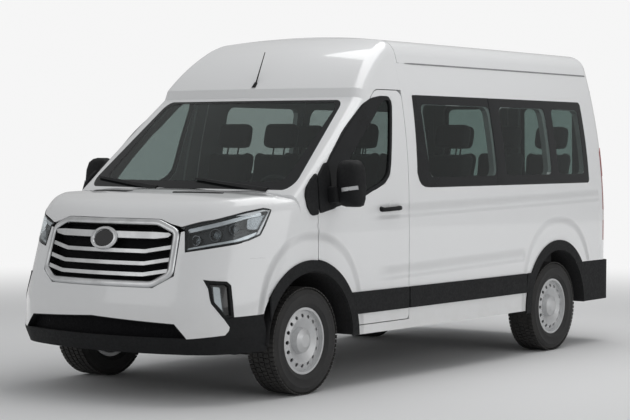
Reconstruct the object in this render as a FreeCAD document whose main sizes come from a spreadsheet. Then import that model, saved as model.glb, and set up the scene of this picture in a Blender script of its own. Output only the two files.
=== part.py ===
import FreeCAD, Part
import math
import os
from types import SimpleNamespace

import Sketcher
from FreeCAD import Placement, Rotation, Vector

# High-roof minibus at full size, millimetres.
# +X points forward, +Y to the driver's side on the left, +Z up.
# The origin is on the ground under the middle of the vehicle, half way between the axles.

os.makedirs("parts", exist_ok=True)
doc = FreeCAD.newDocument("minibus")

# Driving dimensions

DIMENSIONS = {
    # whole vehicle
    "body_length": 5444, "half_width": 1017, "roof_height": 2445, "wheelbase": 3366,
    "sill_height": 357, "waist_height": 1000, "side_bow": 4500, "plan_bow": 97000,
    "roof_bow": 6000, "roof_corner": 150, "wall": 48, "panel_gap": 6, "seat_gap": 0.3,
    "overrun": 400, "underside": 200,
    # tail
    "tail_set_in": 57, "tail_mid_lean": 15, "tail_top_lean": 55, "tail_bow": 7600,
    "tail_corner": 140, "tail_bend_z": 1100, "tail_mid_z": 1700,
    # screen and roof cap
    "screen_foot_x": 1862, "screen_foot_z": 1320, "screen_head_x": 1045, "screen_head_z": 1980,
    "cap_step_x": 15, "cap_step_z": 65, "cap_mid_x": 700, "cap_mid_z": 2310, "cap_end_x": 230,
    "cap_end_z": 2480, "screen_bow": 6400, "pillar_round": 90, "screen_glass": 6,
    "screen_border": 90, "screen_foot_border": 60, "header_depth": 45,
    # nose
    "nose_bow": 1922, "nose_low_x": 2640, "nose_tip_z": 420, "nose_mid_z": 640,
    "nose_mid_set": 22, "nose_high_x": 2520, "nose_high_z": 1260, "nose_end_x": 2420,
    "nose_end_z": 1700, "nose_corner": 330, "nose_start_x": 1000, "bonnet_edge_round": 140,
    "bonnet_front_x": 3000, "bonnet_front_z": 1050, "bonnet_mid_x": 1900,
    "bonnet_mid_z": 1342, "bonnet_back_x": 900, "bonnet_back_z": 1400,
    "bonnet_bow": 3000, "skin": 20,
    # seams seen from the side
    "seam_b_x": 530, "seam_b_top_x": 470, "seam_b_bend_z": 1160, "seam_c_x": -765,
    "door_head_z": 2035, "door_sill_z": 425, "door_head_x": 790, "door_front_x": 1600,
    "door_foot_z": 1350, "door_round": 60, "side_reach": 620, "door_reach": 830,
    "cap_seam_x": 440, "gutter_z": 2235,
    # side glass
    "glass_low_z": 1345, "glass_high_z": 2010, "glass_front_x": 290, "glass_rear_x": -2260,
    "glass_round": 70, "glass_thick": 5, "pane_border": 70, "pane_two_x": -870,
    "pane_two_end_x": -1560, "pane_three_x": -1660, "glass_step": 8,
    "door_glass_rear_x": 660, "door_glass_low_z": 1318, "door_glass_high_z": 1968,
    "door_glass_nose_x": 1470, "door_glass_nose_z": 1375, "door_glass_head_x": 790,
    # rear doors
    "tail_door_half": 745, "tail_door_low_z": 702, "tail_door_high_z": 2215,
    "tail_glass_in": 105, "tail_glass_out": 655, "tail_door_depth": 60,
    # front end pieces
    "grille_half_top": 455, "grille_top_z": 1172, "grille_half_wide": 610,
    "grille_wide_z": 1095, "grille_half_low": 440, "grille_low_z": 738, "grille_depth": 60,
    "grille_frame": 24, "grille_slots": 4, "grille_slot": 46, "badge_radius": 58,
    "lamp_depth": 130, "lamp_rear_x": 2100, "lamp_top_z": 1262, "lamp_low_z": 1010,
    "bumper_top_z": 900, "bumper_depth": 45, "bumper_rear_x": 2120, "bumper_low_z": 300,
    "intake_half_top": 618, "intake_half_low": 703, "intake_top_z": 545, "intake_low_z": 405,
    "fog_in": 690, "fog_out": 850, "fog_top_z": 800, "fog_low_z": 470, "black_top_z": 565,
    "bonnet_half": 850, "bonnet_start_x": 1880, "cowl_start_x": 1800,
    # mouldings
    "moulding_low_z": 500, "moulding_high_z": 650, "moulding_proud": 12,
    # rear bumper and lamps
    "rear_bumper_top_z": 690, "rear_bumper_low_z": 365, "rear_bumper_x": -2020,
    "rear_bumper_depth": 52, "lamp_foot_z": 860, "lamp_head_z": 1400, "tail_lamp_deep": 60,
    "tail_lamp_front_x": -2490,
    # wheels
    "tyre_radius": 356, "tyre_width": 235, "tyre_shoulder": 28,
    "wheel_out_y": 972, "rim_radius": 206, "rim_flange": 221, "rim_wall": 10,
    "rim_dish": 26, "hub_radius": 62, "hub_cap": 78, "hub_proud": 14, "disc_thick": 10,
    "disc_ring": 150, "vent_count": 16, "vent_radius": 13, "vent_circle": 166,
    "rim_width": 190, "wheel_bore_start": -2, "arch_radius": 461, "arch_lip": 75, "arch_depth": 330,
    "arch_house": 470,
    # floor and running gear
    "floor_top": 640, "floor_thick": 60, "steer_angle": 35, "rail_height": 110,
    "rail_width": 80, "rail_y": 430, "axle_radius": 38, "kingpin_y": 800, "kingpin_radius": 22, "kingpin_length": 200,
    "spindle_radius": 30, "brake_radius": 150, "brake_thick": 16, "spring_length": 1350,
    "spring_thick": 34, "spring_width": 70, "spring_drop": 90,
    # cabin
    "seat_width": 440, "seat_depth": 470, "cushion_thick": 130, "back_height": 620,
    "back_thick": 110, "back_lean": 14, "rest_width": 270, "rest_height": 190,
    "rest_thick": 90, "seat_height": 1060, "front_seat_x": 560, "front_seat_y": 470,
    "row_pitch": 780, "row_first_x": -380, "row_count": 3, "seat_frame": 40,
    "dash_top_z": 1330, "dash_low_z": 900, "dash_depth": 420, "wheel_radius": 200,
    "wheel_grip": 16, "wheel_centre_x": 1290, "wheel_centre_z": 1270, "wheel_tilt": 32,
    # masses and tanks
    "engine_length": 530, "engine_width": 620, "engine_height": 560, "engine_z": 420,
    "engine_x": 1840, "tank_x": -500, "tank_y": -20, "tank_length": 900, "tank_width": 400,
    "tank_height": 220, "pipe_radius": 26, "muffler_radius": 80, "muffler_x": -900,
    "muffler_length": 560,
    # mirrors, wipers and aerial
    "mirror_x": 1420, "mirror_y": 1140, "mirror_z": 1410, "mirror_depth": 100,
    "mirror_width": 190, "mirror_height": 285, "wiper_y": 720, "wiper_length": 640,
    "wiper_rise": 90, "hinge_radius": 9, "hinge_length": 70, "hinge_clear": 1,
    "front_hinge_low_z": 700, "front_hinge_high_z": 1060, "rear_hinge_low_z": 760,
    "rear_hinge_mid_z": 1460, "rear_hinge_high_z": 2080, "bonnet_hinge_y": 190,
    "bonnet_hinge_z": 1334, "jack_x": -400, "jack_pad": 100, "jack_drop": 10,
    "hitch_hole": 6.5, "hitch_x": -2400, "hitch_pitch": 120,
    "aerial_foot": 22, "aerial_length": 290, "aerial_lean": 25,
}

sheet = doc.addObject("Spreadsheet::Sheet", "sizes")
for row, (alias, value) in enumerate(DIMENSIONS.items(), 1):
    sheet.set(f"A{row}", alias)
    sheet.set(f"B{row}", str(value))
    sheet.setAlias(f"B{row}", alias)
doc.recompute()
s = SimpleNamespace(**{alias: float(sheet.get(alias)) for alias in DIMENSIONS})
front_axle = s.wheelbase / 2
rear_axle = -s.wheelbase / 2
nose_x = s.body_length / 2
tail_x = -s.body_length / 2 + s.tail_set_in
nodes = []


def side_on(across, up):
    """A point of an outline that is seen from the side."""
    return Vector(across, 0, up)


def front_on(across, up):
    """A point of an outline that is seen from the front."""
    return Vector(0, across, up)


def plan_on(along, across):
    """A point of an outline that is seen from above."""
    return Vector(along, across, 0)


def run_wire(place, start, steps):
    """Closed wire of straight runs, given by one point, and arcs, given by two."""
    edges = []
    here = start
    for step in steps:
        if len(step) == 1:
            edges.append(Part.makeLine(place(*here), place(*step[0])))
        else:
            edges.append(Part.Arc(place(*here), place(*step[0]), place(*step[1])).toShape())
        here = step[-1]
    edges.append(Part.makeLine(place(*here), place(*start)))
    return Part.Wire(edges)


def outline(place, corners):
    """Closed wire round corners, each given by its two coordinates and its rounding radius."""
    ends = []
    count = len(corners)
    for index, (across, up, radius) in enumerate(corners):
        here = place(across, up)
        before = place(*corners[index - 1][:2]) - here
        after = place(*corners[(index + 1) % count][:2]) - here
        before.normalize()
        after.normalize()
        if not radius:
            ends.append((here, None, here))
            continue
        half = before.getAngle(after) / 2
        inward = before + after
        inward.normalize()
        centre = here + inward * (radius / math.sin(half))
        run = radius / math.tan(half)
        ends.append((here + before * run, centre - inward * radius, here + after * run))
    edges = []
    for index, (start, middle, end) in enumerate(ends):
        if middle is not None:
            edges.append(Part.Arc(start, middle, end).toShape())
        follow = ends[(index + 1) % count][0]
        if not end.isEqual(follow, s.seat_gap / 1000):
            edges.append(Part.makeLine(end, follow))
    return Part.Wire(edges)


def prism(wire, start, reach):
    """Solid that runs from the shifted wire along the reach."""
    face = Part.Face(wire)
    face.translate(start)
    return face.extrude(reach)


def across_prism(corners, low_y=0.0, high_y=None):
    """Prism of a side outline that runs across the left half of the vehicle."""
    high_y = s.half_width + s.overrun if high_y is None else high_y
    return prism(outline(side_on, corners), Vector(0, low_y, 0), Vector(0, high_y - low_y, 0))


def grown(corners, gap, low_y=0.0):
    """The same prism with its outline moved outwards by a gap."""
    wire = outline(side_on, corners).makeOffset2D(gap)
    return prism(wire, Vector(0, low_y, 0), Vector(0, s.half_width + s.overrun - low_y, 0))


def block(low, high):
    """Box between two opposite corners."""
    size = Vector(*high) - Vector(*low)
    return Part.makeBox(size.x, size.y, size.z, Vector(*low))


def turned(wire, axis_point, axis, spread):
    """Solid that a wire sweeps when it turns to both sides of its own plane."""
    face = Part.Face(wire)
    face.rotate(axis_point, axis, -spread)
    return face.revolve(axis_point, axis, 2 * spread)


def on_circle(centre, radius, angle):
    """Point of a circle in an outline's own two coordinates."""
    return (centre[0] + radius * math.cos(angle), centre[1] + radius * math.sin(angle))


def edges_of_cut(form, tool):
    """Edges where the faces that a tool left meet the other faces of a form."""
    left = [f for f in form.Faces
            if all(tool.distToShape(v)[0] < s.seat_gap for v in f.Vertexes)]
    others = [f for f in form.Faces if not any(f.isSame(g) for g in left)]
    found = []
    for edge in (e for f in left for e in f.Edges):
        if any(edge.isSame(e) for f in others for e in f.Edges):
            middle = edge.valueAt((edge.FirstParameter + edge.LastParameter) / 2)
            if middle.y > s.panel_gap and middle.z > s.underside + s.panel_gap:
                found.append(edge)
    return found


def middle_of(edge):
    """Point at the middle of an edge."""
    return edge.valueAt((edge.FirstParameter + edge.LastParameter) / 2)


# Body form: the left half, which every panel is cut from

def half_section(inset):
    """Left half of the body before its ends are cut, set in from the outside."""
    side_centre = (s.half_width - s.side_bow, s.waist_height)
    roof_centre = (0.0, s.roof_height - s.roof_bow)
    side_radius = s.side_bow - inset
    roof_radius = s.roof_bow - inset
    corner = max(s.roof_corner - inset, s.glass_round)
    to_side = side_radius - corner
    to_roof = roof_radius - corner
    reach = Vector(*roof_centre, 0) - Vector(*side_centre, 0)
    apart = reach.Length
    along = (to_side ** 2 - to_roof ** 2 + apart ** 2) / (2 * apart)
    off = math.sqrt(to_side ** 2 - along ** 2)
    reach.normalize()
    normal = Vector(reach.y, -reach.x, 0)
    centre = Vector(*side_centre, 0) + reach * along + normal * off
    if centre.y < s.waist_height:
        centre = Vector(*side_centre, 0) + reach * along - normal * off
    turn_side = math.atan2(centre.y - side_centre[1], centre.x - side_centre[0])
    turn_roof = math.atan2(centre.y - roof_centre[1], centre.x - roof_centre[0])
    past_middle = math.pi / 2 + s.overrun / s.roof_bow / 2
    side_top = on_circle(side_centre, side_radius, turn_side)
    roof_edge = on_circle(roof_centre, roof_radius, turn_roof)
    roof_end = on_circle(roof_centre, roof_radius, past_middle)
    wall_y = s.half_width - inset
    wire = run_wire(front_on, (wall_y, s.underside), [
        ((wall_y, s.waist_height),),
        (on_circle(side_centre, side_radius, turn_side / 2), side_top),
        (on_circle((centre.x, centre.y), corner, (turn_side + turn_roof) / 2), roof_edge),
        (on_circle(roof_centre, roof_radius, (turn_roof + past_middle) / 2), roof_end),
        ((roof_end[0], s.underside),)])
    spread = math.degrees(s.body_length / s.plan_bow * 0.7)
    whole = turned(wire, Vector(0, s.half_width - s.plan_bow, 0), Vector(0, 0, 1), spread)
    far = s.body_length
    return whole.cut(block((-far, -s.half_width, 0), (far, 0, s.roof_height + s.overrun)))


def upright_ring(start, steps, centre_x, spread):
    """Cutter that a side outline sweeps round an upright axis in the middle plane."""
    return turned(run_wire(side_on, start, steps), Vector(centre_x, 0, 0), Vector(0, 0, 1), spread)


def cab_form(inset):
    """Left half of the cabin from the tail to the screen, set in from the outside."""
    high = s.roof_height + s.overrun
    low = s.underside - s.overrun
    far = -s.body_length
    tail = upright_ring(
        (tail_x + inset, low),
        [((tail_x + inset, s.tail_bend_z),),
         ((tail_x + s.tail_mid_lean + inset, s.tail_mid_z), (tail_x + s.tail_top_lean + inset, high)),
         ((far, high),), ((far, low),)],
        tail_x + s.tail_bow, math.degrees(s.half_width / s.tail_bow * 1.4))
    form = half_section(inset)
    form = form.cut(tail)
    form = form.makeFillet(max(s.tail_corner - inset, s.glass_round), edges_of_cut(form, tail))
    lean = math.atan2(s.screen_head_z - s.screen_foot_z, s.screen_foot_x - s.screen_head_x)
    back, down = inset * math.sin(lean), inset * math.cos(lean)
    screen = upright_ring(
        (s.screen_foot_x - inset, low),
        [((s.screen_foot_x - inset, s.screen_foot_z - (inset * (1 - math.sin(lean)) / math.cos(lean))),),
         ((s.screen_head_x - back, s.screen_head_z - down),),
         ((s.screen_head_x - s.cap_step_x - back, s.screen_head_z + s.cap_step_z - down),),
         ((s.cap_mid_x - back, s.cap_mid_z - down), (s.cap_end_x - back, s.cap_end_z - down)),
         ((s.cap_end_x - back, high),), ((s.body_length, high),), ((s.body_length, low),)],
        s.screen_head_x - s.screen_bow, math.degrees(s.half_width / s.screen_bow * 1.5))
    form = form.cut(screen)
    edges = [e for e in edges_of_cut(form, screen) if middle_of(e).z > s.screen_foot_z]
    return form.makeFillet(max(s.pillar_round - inset, s.pillar_round * 0.8), edges)


def nose_form(inset):
    """Left half of the nose from under the screen to the front, set in from the outside."""
    high = s.roof_height + s.overrun
    low = s.underside - s.overrun
    far = s.body_length
    form = half_section(inset)
    form = form.cut(block((-far, -far, low), (s.nose_start_x, far, high)))
    form = form.cut(block((-far, -far, s.nose_end_z - s.skin), (far, far, high)))
    front = upright_ring(
        (s.nose_low_x - inset, low),
        [((nose_x - inset, s.nose_tip_z),), ((nose_x - s.nose_mid_set - inset, s.nose_mid_z),),
         ((s.nose_high_x - inset, s.nose_high_z),), ((s.nose_end_x - inset, s.nose_end_z),),
         ((far, s.nose_end_z),), ((far, low),)],
        nose_x - s.nose_bow, 62)
    form = form.cut(front)
    form = form.cut(block((nose_x, -far, low), (far, far, high)))
    edges = [e for e in edges_of_cut(form, front) if middle_of(e).y > s.half_width / 2]
    form = form.makeFillet(max(s.nose_corner - inset, s.glass_round), edges)
    bonnet = turned(
        run_wire(side_on, (s.bonnet_front_x + s.overrun, s.nose_tip_z),
                 [((s.bonnet_front_x, s.bonnet_front_z - inset),),
                  ((s.bonnet_mid_x, s.bonnet_mid_z - inset), (s.bonnet_back_x, s.bonnet_back_z - inset)),
                  ((s.bonnet_back_x, high),), ((s.bonnet_front_x + s.overrun, high),)]),
        Vector(0, 0, s.bonnet_mid_z - s.bonnet_bow), Vector(1, 0, 0), 25)
    form = form.cut(bonnet)
    edges = [e for e in edges_of_cut(form, bonnet) if middle_of(e).x > s.nose_start_x + s.panel_gap]
    return form.makeFillet(max(s.bonnet_edge_round - inset, s.skin), edges)


def mirrored(shape):
    """The same shape on the other side of the middle plane."""
    return shape.mirror(Vector(0, 0, 0), Vector(0, 1, 0))


def both_halves(shape):
    """One solid from a left half that reaches the middle plane, and its mirror image."""
    return shape.fuse(mirrored(shape)).removeSplitter()


def biggest(shape):
    """The largest solid of a cut, without the crumbs beside it."""
    return max(shape.Solids, key=lambda solid: solid.Volume)


def add_node(label, shape):
    """Sub-part of its own whose shape is made here from the named sizes."""
    node = doc.addObject("Part::Feature", label)
    node.Label = label
    solids = shape.Solids
    node.Shape = solids[0] if len(solids) == 1 else Part.makeCompound(solids)
    nodes.append(node)
    return node


def fused(shapes):
    """One solid from shapes that overlap or share faces."""
    return shapes[0].multiFuse(shapes[1:]).removeSplitter()


def arch_cutter(axle_x, radius):
    """Cylinder across the left side that clears a wheel."""
    return Part.makeCylinder(radius, s.half_width + s.overrun - s.arch_depth,
                             Vector(axle_x, s.arch_depth, s.tyre_radius), Vector(0, 1, 0))


# Forms that the panels share

outer_cab = cab_form(0.0)
inner_cab = cab_form(s.wall)
outer_nose = nose_form(0.0)
inner_nose = nose_form(s.skin)
cab_wall = outer_cab.cut(inner_cab)
nose_wall = outer_nose.cut(inner_nose)
glass_wall = outer_cab.cut(cab_form(s.glass_thick))
glass_bed = outer_cab.cut(cab_form(s.glass_thick + s.seat_gap))
far = s.half_width + s.overrun
high = s.roof_height + s.overrun
gap = s.panel_gap

# Lift-off hinges: the moving knuckle rests on the fixed one

class Hinge:
    """Pair of round knuckles, the moving one above the fixed one along the axis."""

    def __init__(self, start, way):
        self.start = Vector(*start)
        self.way = way

    def knuckle(self, moving):
        """One knuckle of the pair."""
        half = s.hinge_length / 2
        base = self.start + self.way * (half + s.seat_gap if moving else 0)
        return Part.makeCylinder(s.hinge_radius, half, base, self.way)

    def room(self, moving):
        """Room that a panel leaves for the knuckle of the other panel."""
        half = s.hinge_length / 2
        base = self.start + self.way * (-s.hinge_clear if moving else half)
        return Part.makeCylinder(s.hinge_radius + s.hinge_clear, half + s.hinge_clear + s.seat_gap, base, self.way)

    def leaf(self, reach, moving):
        """Knuckle with a flat leaf that reaches into its panel."""
        half = s.hinge_length / 2
        base = self.start + self.way * (half + s.seat_gap if moving else 0)
        side = Part.makeBox(reach.x, abs(reach.y) - gap / 2, half, base + Vector(0, gap / 2 if reach.y > 0 else reach.y, 0))
        neck = Part.makeBox(s.hinge_radius * 0.7, abs(reach.y), half, base + Vector(-s.hinge_radius * 0.7, 0 if reach.y > 0 else reach.y, 0))
        return self.knuckle(moving).fuse(neck).fuse(side).removeSplitter()


FRONT_HINGES = (s.front_hinge_low_z, s.front_hinge_high_z)
REAR_HINGES = (s.rear_hinge_low_z, s.rear_hinge_mid_z, s.rear_hinge_high_z)
tail_hinge_y = s.tail_door_half + gap / 2
tail_hinge_x = tail_x + tail_hinge_y ** 2 / s.tail_bow / 2 - s.hinge_radius

# Side outlines

DOOR = [
    (s.seam_b_x, s.door_sill_z, s.door_round / 2), (s.door_front_x, s.door_sill_z, 0),
    (s.door_front_x, s.door_foot_z, s.door_round / 2),
    (s.door_head_x, s.door_head_z, s.door_round * 2), (s.seam_b_top_x, s.door_head_z, s.door_round),
    (s.seam_b_x, s.seam_b_bend_z, s.overrun)]
DOOR_GLASS = [
    (s.door_glass_rear_x, s.door_glass_low_z, s.glass_round),
    (s.door_glass_nose_x, s.door_glass_nose_z, s.glass_round / 2),
    (s.door_glass_head_x, s.door_glass_high_z, s.glass_round),
    (s.door_glass_rear_x - s.glass_round, s.door_glass_high_z, s.glass_round / 2)]
BAND_FRONT = [
    (s.seam_c_x + gap, s.glass_low_z, s.glass_round / 3), (s.glass_front_x - s.glass_round, s.glass_low_z, 2 * s.glass_round),
    (s.glass_front_x + s.glass_round / 2, s.glass_high_z, s.glass_round / 2),
    (s.seam_c_x + gap, s.glass_high_z, s.glass_round / 3)]
BAND_REAR = [
    (s.glass_rear_x, s.glass_low_z, s.glass_round / 2), (s.seam_c_x - gap, s.glass_low_z, s.glass_round / 3),
    (s.seam_c_x - gap, s.glass_high_z, s.glass_round / 3), (s.glass_rear_x, s.glass_high_z, s.glass_round / 2)]


def pane(rear_x, front_x):
    """Opening behind the glass band, a border inside its edges."""
    low = s.glass_low_z + s.pane_border
    top = s.glass_high_z - s.pane_border
    return across_prism([(rear_x, low, s.glass_round), (front_x, low, s.glass_round),
                         (front_x, top, s.glass_round), (rear_x, top, s.glass_round)])


panes_rear = [pane(s.pane_two_end_x, s.pane_two_x), pane(s.glass_rear_x + s.pane_border, s.pane_three_x)]
pane_front = pane(s.seam_c_x + s.pane_border, s.glass_front_x - s.pane_border)
band_front = across_prism(BAND_FRONT)
band_rear = across_prism(BAND_REAR)
door_prism = across_prism(DOOR, s.door_reach)
door_hole = grown(DOOR, gap)
door_pane = across_prism(DOOR_GLASS)
front_arch = arch_cutter(front_axle, s.arch_radius)
front_arch_lip = arch_cutter(front_axle, s.arch_radius + s.arch_lip)
rear_arch = arch_cutter(rear_axle, s.arch_radius)
tail_door = prism(outline(front_on, [
    (gap / 2, s.tail_door_low_z, s.door_round / 4), (s.tail_door_half, s.tail_door_low_z, s.door_round / 2),
    (s.tail_door_half, s.tail_door_high_z, s.door_round), (gap / 2, s.tail_door_high_z, s.door_round / 4)]),
    Vector(-far * 3, 0, 0), Vector(far * 2, 0, 0))
tail_hole = block((-far * 3, -gap, s.tail_door_low_z - gap),
                  (-far, s.tail_door_half + gap, s.tail_door_high_z + gap))
tail_pane = prism(outline(front_on, [
    (s.tail_glass_in, s.glass_low_z, s.glass_round), (s.tail_glass_out, s.glass_low_z, s.glass_round),
    (s.tail_glass_out, s.glass_high_z, s.glass_round), (s.tail_glass_in, s.glass_high_z, s.glass_round)]),
    Vector(-far * 3, 0, 0), Vector(far * 2, 0, 0))

# Rear bumper and tail lamps

bumper_form = outer_cab.cut(cab_form(s.rear_bumper_depth)).translated(Vector(-s.tail_set_in, 0, 0))
rear_bumper_zone = block((-far * 3, -gap, s.rear_bumper_low_z), (s.rear_bumper_x, far, s.rear_bumper_top_z))
rear_bumper_clear = block((-far * 3, -gap, 0), (s.rear_bumper_x + gap, far, s.rear_bumper_top_z + gap))
lamp_form = outer_cab.cut(cab_form(s.tail_lamp_deep))
tail_lamp_zone = block((-far * 3, s.tail_door_half + 2 * gap, s.lamp_foot_z), (s.tail_lamp_front_x, far, s.lamp_head_z))
tail_lamp_clear = block((-far * 3, s.tail_door_half + gap, s.lamp_foot_z - s.seat_gap),
                        (s.tail_lamp_front_x + s.seat_gap, far, s.lamp_head_z + s.seat_gap))
rear_bumper = bumper_form.common(rear_bumper_zone).cut(arch_cutter(rear_axle, s.arch_radius + gap))
tail_lamp = lamp_form.common(tail_lamp_zone)

# Body sides

side_zone = across_prism([
    (-far * 3, s.sill_height, 0), (s.seam_b_x - gap, s.sill_height, 0), (s.seam_b_x - gap, s.seam_b_bend_z, 0),
    (s.seam_b_top_x - gap, s.door_head_z + gap, 0), (s.seam_b_top_x - gap, s.gutter_z, 0), (-far * 3, s.gutter_z, 0)],
    s.side_reach)
sill_zone = block((s.seam_b_x - 2 * gap, s.side_reach, s.sill_height), (front_axle, far, s.door_sill_z - gap))
side_panel = cab_wall.common(side_zone.fuse(sill_zone))
for cutter in (rear_arch, front_arch_lip, tail_hole, rear_bumper_clear, tail_lamp_clear, *panes_rear,
               glass_bed.common(band_rear)):
    side_panel = side_panel.cut(cutter)
sliding_zone = across_prism([
    (s.seam_c_x, s.door_sill_z, s.door_round), (s.seam_b_x - 2 * gap, s.door_sill_z, s.door_round / 2),
    (s.seam_b_x - 2 * gap, s.seam_b_bend_z, 0), (s.seam_b_top_x - 2 * gap, s.door_head_z, s.door_round / 2),
    (s.seam_c_x, s.door_head_z, s.door_round)])
sliding_hole = across_prism([
    (s.seam_c_x - gap, s.door_sill_z - gap, s.door_round), (s.seam_b_x + gap, s.door_sill_z - gap, 0),
    (s.seam_b_x + gap, s.door_head_z + gap, 0), (s.seam_c_x - gap, s.door_head_z + gap, s.door_round)])
sliding_door = cab_wall.common(sliding_zone).cut(pane_front).cut(glass_bed.common(band_front))
tail_hinges = [Hinge((tail_hinge_x, tail_hinge_y, z), Vector(0, 0, 1)) for z in REAR_HINGES]
tail_leaf = Vector(s.wall * 1.5, s.hinge_radius * 3, 0)
fixed_leaves = [hinge.leaf(tail_leaf, moving=False) for hinge in tail_hinges]
side_left = biggest(side_panel.cut(pane_front).cut(glass_bed.common(band_front)))
side_right = biggest(side_panel.cut(sliding_hole))
for hinge in tail_hinges:
    side_left = side_left.cut(hinge.room(moving=False))
    side_right = side_right.cut(hinge.room(moving=False))
add_node("body_side_left", fused([side_left, *fixed_leaves]))
add_node("body_side_right", mirrored(fused([side_right, *fixed_leaves])))
add_node("sliding_door", mirrored(biggest(sliding_door)))
glass_front = glass_wall.common(band_front)
glass_rear = glass_wall.common(band_rear)
add_node("side_glass", Part.makeCompound([glass_front, glass_rear, mirrored(glass_front), mirrored(glass_rear)]))
add_node("rear_bumper", both_halves(rear_bumper))
add_node("tail_lamps", Part.makeCompound([tail_lamp, mirrored(tail_lamp)]))

# Roof and cab frame

roof_zone = block((-far * 3, -gap, s.gutter_z + s.seat_gap), (s.cap_seam_x - gap, far, high))
add_node("roof_panel", both_halves(cab_wall.common(roof_zone).cut(tail_hole)))
screen_hole = prism(outline(front_on, [
    (-s.half_width, s.screen_foot_z + s.screen_foot_border / 2, 0),
    (s.half_width - s.screen_border - s.skin, s.screen_foot_z + s.screen_foot_border / 2, s.glass_round),
    (s.half_width - 2 * s.screen_border - s.header_depth, s.screen_head_z - s.skin, s.glass_round),
    (-s.half_width, s.screen_head_z - s.skin, 0)]), Vector(s.seam_b_x, 0, 0), Vector(far, 0, 0))
frame_zone = block((s.cap_seam_x, -gap, s.screen_foot_z - s.nose_corner / 2), (front_axle + far, far, high))
behind_door = block((0, -gap, 0), (s.seam_b_x + gap, far, s.door_head_z + gap))
beside_gutter = block((0, -gap, 0), (s.seam_b_top_x - gap + s.seat_gap, far, s.gutter_z + s.seat_gap))
cab_frame = cab_wall.common(frame_zone).cut(outer_nose).cut(behind_door).cut(beside_gutter).cut(door_hole).cut(screen_hole)
cab_frame = cab_frame.cut(block((s.screen_foot_x - s.wall - gap, -gap, 0), (far * 2, s.bonnet_half, s.screen_foot_z + s.skin)))
add_node("cab_frame", both_halves(biggest(cab_frame)))
screen_wall = outer_cab.cut(cab_form(s.screen_glass))
screen = screen_wall.common(screen_hole).common(block((s.seam_b_x, -gap, 0), (far * 2, far, high)))
add_node("windscreen", both_halves(biggest(screen)))

# Front doors

door_panel = cab_wall.common(door_prism).cut(arch_cutter(front_axle, s.arch_radius + s.arch_lip + gap)).cut(door_pane)
door_glass = cab_form(s.glass_step).cut(cab_form(s.glass_step + s.glass_thick)).common(door_pane)
door_hinge_x = s.door_front_x + gap / 2
door_hinge_y = s.half_width - door_hinge_x ** 2 / s.plan_bow / 2
door_hinges = [Hinge((door_hinge_x, door_hinge_y, z), Vector(0, 0, 1)) for z in FRONT_HINGES]
door_panel = biggest(door_panel)
for hinge in door_hinges:
    door_panel = door_panel.cut(hinge.room(moving=True)).fuse(hinge.knuckle(moving=True))
for side_name, place in (("left", lambda shape: shape), ("right", mirrored)):
    add_node(f"door_panel_{side_name}", place(biggest(door_panel)))
    add_node(f"door_glass_{side_name}", place(biggest(door_glass)))

# Rear doors

rear_panel = cab_wall.common(tail_door).cut(tail_pane)
rear_glass = glass_wall.common(tail_pane)
rear_panel = biggest(rear_panel)
for hinge in tail_hinges:
    rear_panel = rear_panel.cut(hinge.room(moving=True))
rear_panel = fused([rear_panel, *[hinge.leaf(Vector(s.wall * 1.5, -s.hinge_radius * 3, 0), moving=True) for hinge in tail_hinges]])
for side_name, place in (("left", lambda shape: shape), ("right", mirrored)):
    add_node(f"rear_door_{side_name}", place(biggest(rear_panel)))
    add_node(f"rear_glass_{side_name}", place(biggest(rear_glass)))

# Bonnet, wings, lamps, grille and front bumper

BONNET_PLAN = [
    (s.bonnet_start_x, -far, 0), (far * 3, -far, 0), (far * 3, s.grille_half_top - gap, 0),
    (s.nose_high_x - s.skin, s.grille_half_top - gap, s.door_round), (s.nose_high_x - s.nose_corner, s.bonnet_half - s.grille_frame, s.door_round),
    (s.lamp_rear_x, s.bonnet_half + s.grille_frame, s.grille_frame), (s.bonnet_start_x, s.bonnet_half, s.door_round / 2)]


def above_prism(corners, low_z, grow=0.0):
    """Upright prism of an outline that is seen from above."""
    wire = outline(plan_on, corners)
    if grow:
        wire = wire.makeOffset2D(grow)
    return prism(wire, Vector(0, 0, low_z), Vector(0, 0, high))


bonnet_zone = above_prism(BONNET_PLAN, s.grille_top_z + gap).cut(block((-far * 3, -far * 2, 0), (far * 3, 0, high)))
bonnet_clear = above_prism(BONNET_PLAN, s.grille_top_z, gap)
bonnet = nose_wall.common(bonnet_zone)
GRILLE = [
    (-s.grille_half_top, s.grille_top_z, 0), (-s.grille_half_low, s.grille_low_z, 0),
    (s.grille_half_low, s.grille_low_z, s.door_round), (s.grille_half_wide, s.grille_wide_z, s.door_round / 2),
    (s.grille_half_top, s.grille_top_z, s.door_round / 2)]


def front_prism(corners, grow=0.0):
    """Prism of an outline that is seen from the front, through the nose."""
    wire = outline(front_on, corners)
    if grow:
        wire = wire.makeOffset2D(grow)
    return prism(wire, Vector(front_axle, 0, 0), Vector(far * 2, 0, 0))


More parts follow.
